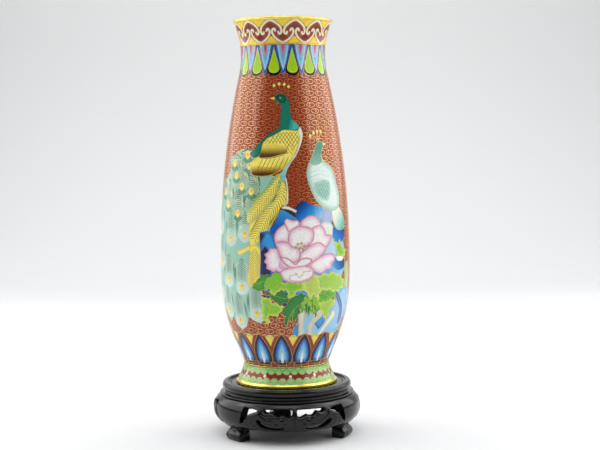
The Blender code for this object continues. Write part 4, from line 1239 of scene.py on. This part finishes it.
def leg_half_width(height):
    """Half a leg's width round the frame: narrow at the ankle, spreading into the aprons."""
    share = np.clip((height - ANKLE_RISE) / (LEG_TOP - ANKLE_RISE), 0, 1)
    return 9 + 10 * (1 - (1 - share) ** 2.2)


def leg_points(turn):
    """Levels up a leg by places round its section: outer arc, side, inner arc, side.

    The outer arc is rounded off at the leg's edges below the aprons. Below the ankle a sine
    bump swells the toe, and a round groove is cut in it as the volute of its scroll.
    """
    levels = np.concatenate([np.linspace(0, 9.0, 11), np.linspace(9.5, LEG_TOP, 22)])[:, None]
    bump = np.where(levels < ANKLE_RISE, np.sin(math.pi * 0.85 * (1 - levels / ANKLE_RISE)), 0)
    outer = frame_radius(np.maximum(levels, ANKLE_RISE)) + TOE * bump
    share = np.clip((levels - ANKLE_RISE) / (LEG_TOP - ANKLE_RISE), 0, 1)
    wall = 8.3 + 1.7 * share + TOE * bump
    half = leg_half_width(levels) + 1.5 * bump
    across = np.linspace(-1, 1, 33)[None]
    edge = (1 - np.abs(across)) * half
    relief = -0.9 * np.clip(1 - edge / 1.2, 0, 1) ** 2 * (levels < APRON_LOW)
    volute = np.hypot(across * half / 1.3, levels - VOLUTE_RISE)
    relief = relief - 0.5 * np.exp(-(((volute - VOLUTE_R) / 0.55) ** 2)) * (bump > 0)
    front = outer + relief
    front_angle = across * half / outer
    back_angle = across[:, ::-2] * (half / outer)
    back = outer - wall + 0 * back_angle
    radius = np.concatenate([front, back], axis=1)
    angle = np.concatenate([front_angle, back_angle], axis=1) + math.radians(turn)
    return around(radius, angle, levels)


for number, turn in enumerate(LEG_TURNS, 1):
    surface(f"carved_leg_{number}", leg_points(turn), lacquer, "stand",
            f"leg_{number}", sharp=50)

# ---------------------------------------------------------------------------------------------
# Aprons. Between the legs hang pierced panels carved as leaf scrolls: a rail above and below,
# tendrils between, open over and under them. They are sawn through, carved and pegged in.

APRON_WALL = 6.0
APRON_TURNS = (6, 126, 246)
PIERCED_LOW = APRON_LOW + 2.3
PIERCED_HIGH = LEG_TOP - 4.2
# Openings and veins of the right half, as shares of its half angle and of the pierced height
NOTCH = [(1.3, 0.99), (0.86, 1.0), (0.73, 0.96), (0.71, 0.88), (0.78, 0.80), (0.86, 0.72), (0.90, 0.58),
         (0.925, 0.42), (0.96, 0.27), (1.3, 0.24)]
UPPER_GAP = [(0.56, 0.99), (0.30, 1.0), (0.05, 0.98), (0.05, 0.68), (0.10, 0.62), (0.16, 0.68),
             (0.22, 0.76), (0.28, 0.70), (0.33, 0.70), (0.38, 0.78), (0.42, 0.90), (0.50, 0.84),
             (0.56, 0.88)]
LOWER_SLOT = [(0.19, 0.03), (0.33, 0.0), (0.50, 0.07), (0.61, 0.24), (0.67, 0.46), (0.60, 0.40),
              (0.54, 0.27), (0.44, 0.19), (0.33, 0.14), (0.22, 0.13)]
VEINS = [
    [(0.0, 0.90), (0.0, 0.05)],
    [(0.62, 0.95), (0.60, 0.72), (0.50, 0.55), (0.34, 0.48), (0.18, 0.52)],
    [(0.70, 0.70), (0.74, 0.48), (0.72, 0.24), (0.62, 0.06)],
    [(0.48, 0.66), (0.34, 0.58), (0.22, 0.62)],
    [(0.52, 0.40), (0.36, 0.32), (0.20, 0.30), (0.08, 0.38)],
    [(0.82, 0.60), (0.84, 0.36), (0.80, 0.12)],
    [(0.08, 0.52), (0.14, 0.40), (0.10, 0.26)],
]


def apron_half(height):
    """Half an apron's angle: from its middle to the leg beside it, less a small gap."""
    outer = frame_radius(height)
    return 60 - np.degrees(leg_half_width(height) / outer + 0.08 / (outer - 10))


def on_panel(shares, hand):
    """Points at shares of the panel's half angle and of its pierced height, on one hand."""
    height = PIERCED_LOW + (PIERCED_HIGH - PIERCED_LOW) * shares[:, 1]
    return np.stack([hand * shares[:, 0] * apron_half(height), height], axis=1)


def rail(start, height):
    """An edge of the panel at a height, from one side to the other without its corners."""
    across = np.linspace(start, -start, 60)[1:-1] * apron_half(height)
    return np.stack([across, np.full(len(across), height)], axis=1)


def apron_plan():
    """An apron laid flat, in degrees by height: its points, triangles and carved relief.

    It is divided round its openings. The face falls off in a quarter round at every edge and
    in a groove along every vein.
    """
    rows = np.linspace(APRON_LOW, LEG_TOP, 27)
    sides = np.stack([apron_half(rows), rows], axis=1)
    border = np.concatenate([rail(-1, APRON_LOW), sides, rail(1, LEG_TOP), (sides * (-1, 1))[::-1]])
    holes = [on_panel(rounded(shape), hand)
             for shape in (NOTCH, UPPER_GAP, LOWER_SLOT) for hand in (1, -1)]
    across, up = np.meshgrid(np.arange(-44, 44.1, 0.95), np.linspace(APRON_LOW, LEG_TOP, 29)[1:-1])
    grid = np.stack([across.reshape(-1), up.reshape(-1)], axis=1)
    blocks, edges = [grid[inside(grid, border)]], []
    for path in [border, *holes]:
        edges += loop_edges(sum(map(len, blocks)), path)
        blocks.append(path)
    flat, triangles = divided(np.concatenate(blocks), edges)
    middle = flat[triangles].mean(axis=1)
    kept = inside(middle, border)
    for path in holes:
        kept &= ~inside(middle, path)
    flat, triangles = used_only(flat, triangles[kept])
    even = (bead_r * math.pi / 180, 1)
    edge = np.min([edge_distance(flat * even, path * even) for path in holes], axis=0)
    edge = np.minimum(edge, np.minimum(flat[:, 1] - APRON_LOW, LEG_TOP - flat[:, 1] + 0.8))
    relief = -1.5 * np.clip(1 - edge / 1.5, 0, 1) ** 2
    carved = (flat[:, 1] > PIERCED_LOW) * (flat[:, 1] < PIERCED_HIGH)
    relief += 0.5 * np.clip(edge / 2.5, 0, 1) * carved
    for vein in VEINS:
        for hand in (1, -1):
            line = on_panel(rounded(vein, closed=False, steps=6), hand)
            line = np.concatenate([line, line[::-1]])
            away = edge_distance(flat * even, line * even)
            relief -= 0.75 * np.exp(-((away / 0.55) ** 2)) * np.clip(edge / 1.2, 0, 1)
    return flat, triangles, np.minimum(relief, 0.4)


flat, triangles, relief = apron_plan()
directed = np.stack([triangles, np.roll(triangles, -1, axis=1)], axis=-1).reshape(-1, 2)
keys = directed[:, 0] * len(flat) + directed[:, 1]
opposite = directed[:, 1] * len(flat) + directed[:, 0]
rim = directed[~np.isin(keys, opposite)]
walls = np.stack([rim[:, 1], rim[:, 0], rim[:, 0] + len(flat), rim[:, 1] + len(flat)], axis=1)
apron_faces = triangles.tolist() + (triangles[:, ::-1] + len(flat)).tolist() + walls.tolist()
outer = frame_radius(flat[:, 1])
for number, turn in enumerate(APRON_TURNS, 1):
    angle = np.radians(flat[:, 0] + turn)
    shells = [around(radius, angle, flat[:, 1]) for radius in (outer + relief, outer - APRON_WALL)]
    made(f"carved_apron_{number}", np.concatenate(shells) * MM, apron_faces, lacquer, "stand",
         f"apron_{number}", sharp=55)

# ---------------------------------------------------------------------------------------------
# Pegs. Small round pegs of plain hardwood, left bare inside the joints: dowels from the legs into
# the waist ring, pegs between the two rings, and pegs that hold each apron between its legs.

WOOD_TONES = (srgb(120, 84, 52), srgb(168, 126, 84))
peg_wood = finish("peg_wood", WOOD_TONES, 1.2, (0.5, 0.7), bump=(0.3, 0.05), stretch=(1, 1, 0.2))
PEGS = [f"leg_dowel_{n}" for n in (1, 2, 3)] + [f"ring_peg_{n}" for n in (1, 2, 3)]
PEGS += [f"apron_peg_{n}" for n in range(1, 7)]
refinish(peg_wood, *PEGS)

# ---------------------------------------------------------------------------------------------
# Room. A pale sweep of studio paper, a large soft light to either side and a pale ceiling, and a
# camera a little above the belly of the vase, looking slightly down.


def paper_sweep():
    """The sweep: flat under the object, rising behind it in a quarter circle to a tall back."""
    curve = np.radians(np.linspace(0, 90, 13))
    back, bend, wide = 1.1, 0.5, 4.0
    level = np.linspace(-1.5, back, 6)
    run = np.concatenate([[-3.0], level, back + bend * np.sin(curve), [back + bend]])
    rise = np.concatenate([np.zeros(7), bend * (1 - np.cos(curve)), [3.5]])
    across = np.linspace(-wide, wide, 9)
    points = np.stack(np.broadcast_arrays(across, run[:, None], rise[:, None]), axis=-1)
    index = np.arange(len(run) * 9).reshape(len(run), 9)
    quads = np.stack([index[:-1, :-1], index[:-1, 1:], index[1:, 1:], index[1:, :-1]], axis=-1)
    mesh = bpy.data.meshes.new("studio_sweep")
    mesh.from_pydata(points.reshape(-1, 3).tolist(), [], quads.reshape(-1, 4).tolist())
    mesh.shade_smooth()
    tones = (srgb(220, 220, 220), srgb(223, 223, 223))
    mesh.materials.append(finish("studio_paper", tones, 900, (0.7, 0.75), bump=(400, 0.01)))
    sweep = bpy.data.objects.new("studio_sweep", mesh)
    bpy.context.scene.collection.objects.link(sweep)


def softbox(name, place, aim, width, height, power):
    """A soft light of a size at a place, turned to face a point."""
    light = bpy.data.lights.new(name, "AREA")
    light.shape = "RECTANGLE"
    light.size = width
    light.size_y = height
    light.energy = power
    lamp = bpy.data.objects.new(name, light)
    lamp.location = place
    lamp.rotation_euler = (Vector(aim) - Vector(place)).to_track_quat("-Z", "Y").to_euler()
    bpy.context.scene.collection.objects.link(lamp)


paper_sweep()
softbox("light_left", (-0.8, 0.12, 0.6), (0, 0, 0.25), 1.4, 0.9, 7.4)
softbox("light_right", (0.8, 0.04, 0.6), (0, 0, 0.25), 1.5, 0.9, 8)
softbox("light_above", (0, -0.45, 1.6), (0, 0, 0), 0.8, 0.8, 3)
softbox("light_backdrop", (0, 0.45, 1.6), (0, 1.6, 0.5), 3.4, 0.6, 17)

world = bpy.data.worlds.new("studio")
world.use_nodes = True
tree = world.node_tree
join = tree.links.new
ceiling = tree.nodes["Background"]
ceiling.inputs["Color"].default_value = (0.95, 0.97, 1, 1)
direction = add_node(tree, "SeparateXYZ")
join(add_node(tree, "TexCoord").outputs["Generated"], direction.inputs["Vector"])
# The ceiling is bright only overhead, so that the vase has a dark band between the two lights
overhead = {"From Min": 0.5, "From Max": 0.8, "To Min": 0.08, "To Max": 1.1}
brightness = add_node(tree, "MapRange", overhead)
join(direction.outputs["Z"], brightness.inputs["Value"])
join(brightness.outputs["Result"], ceiling.inputs["Strength"])
# Beyond the paper stand plain pale walls, which are seen but light nothing
walls = add_node(tree, "Background", {"Color": (0.74, 0.74, 0.74, 1)})
seen = add_node(tree, "MixShader")
join(add_node(tree, "LightPath").outputs["Is Camera Ray"], seen.inputs["Fac"])
join(ceiling.outputs["Background"], seen.inputs[1])
join(walls.outputs["Background"], seen.inputs[2])
join(seen.outputs["Shader"], tree.nodes["World Output"].inputs["Surface"])
bpy.context.scene.world = world
bpy.context.scene.view_settings.view_transform = "Standard"

camera = bpy.data.cameras.new("camera")
camera.lens = 77.4
camera.sensor_width = 36
camera_at = bpy.data.objects.new("camera", camera)
pan = Matrix.Rotation(math.radians(-0.67), 4, "Z")
pitch = Matrix.Rotation(math.radians(90 - 3.64), 4, "X")
roll = Matrix.Rotation(math.radians(-0.61), 4, "Z")
camera_at.matrix_world = Matrix.Translation((0, -1.093, 0.2465)) @ pan @ pitch @ roll
bpy.context.scene.collection.objects.link(camera_at)
bpy.context.scene.camera = camera_at
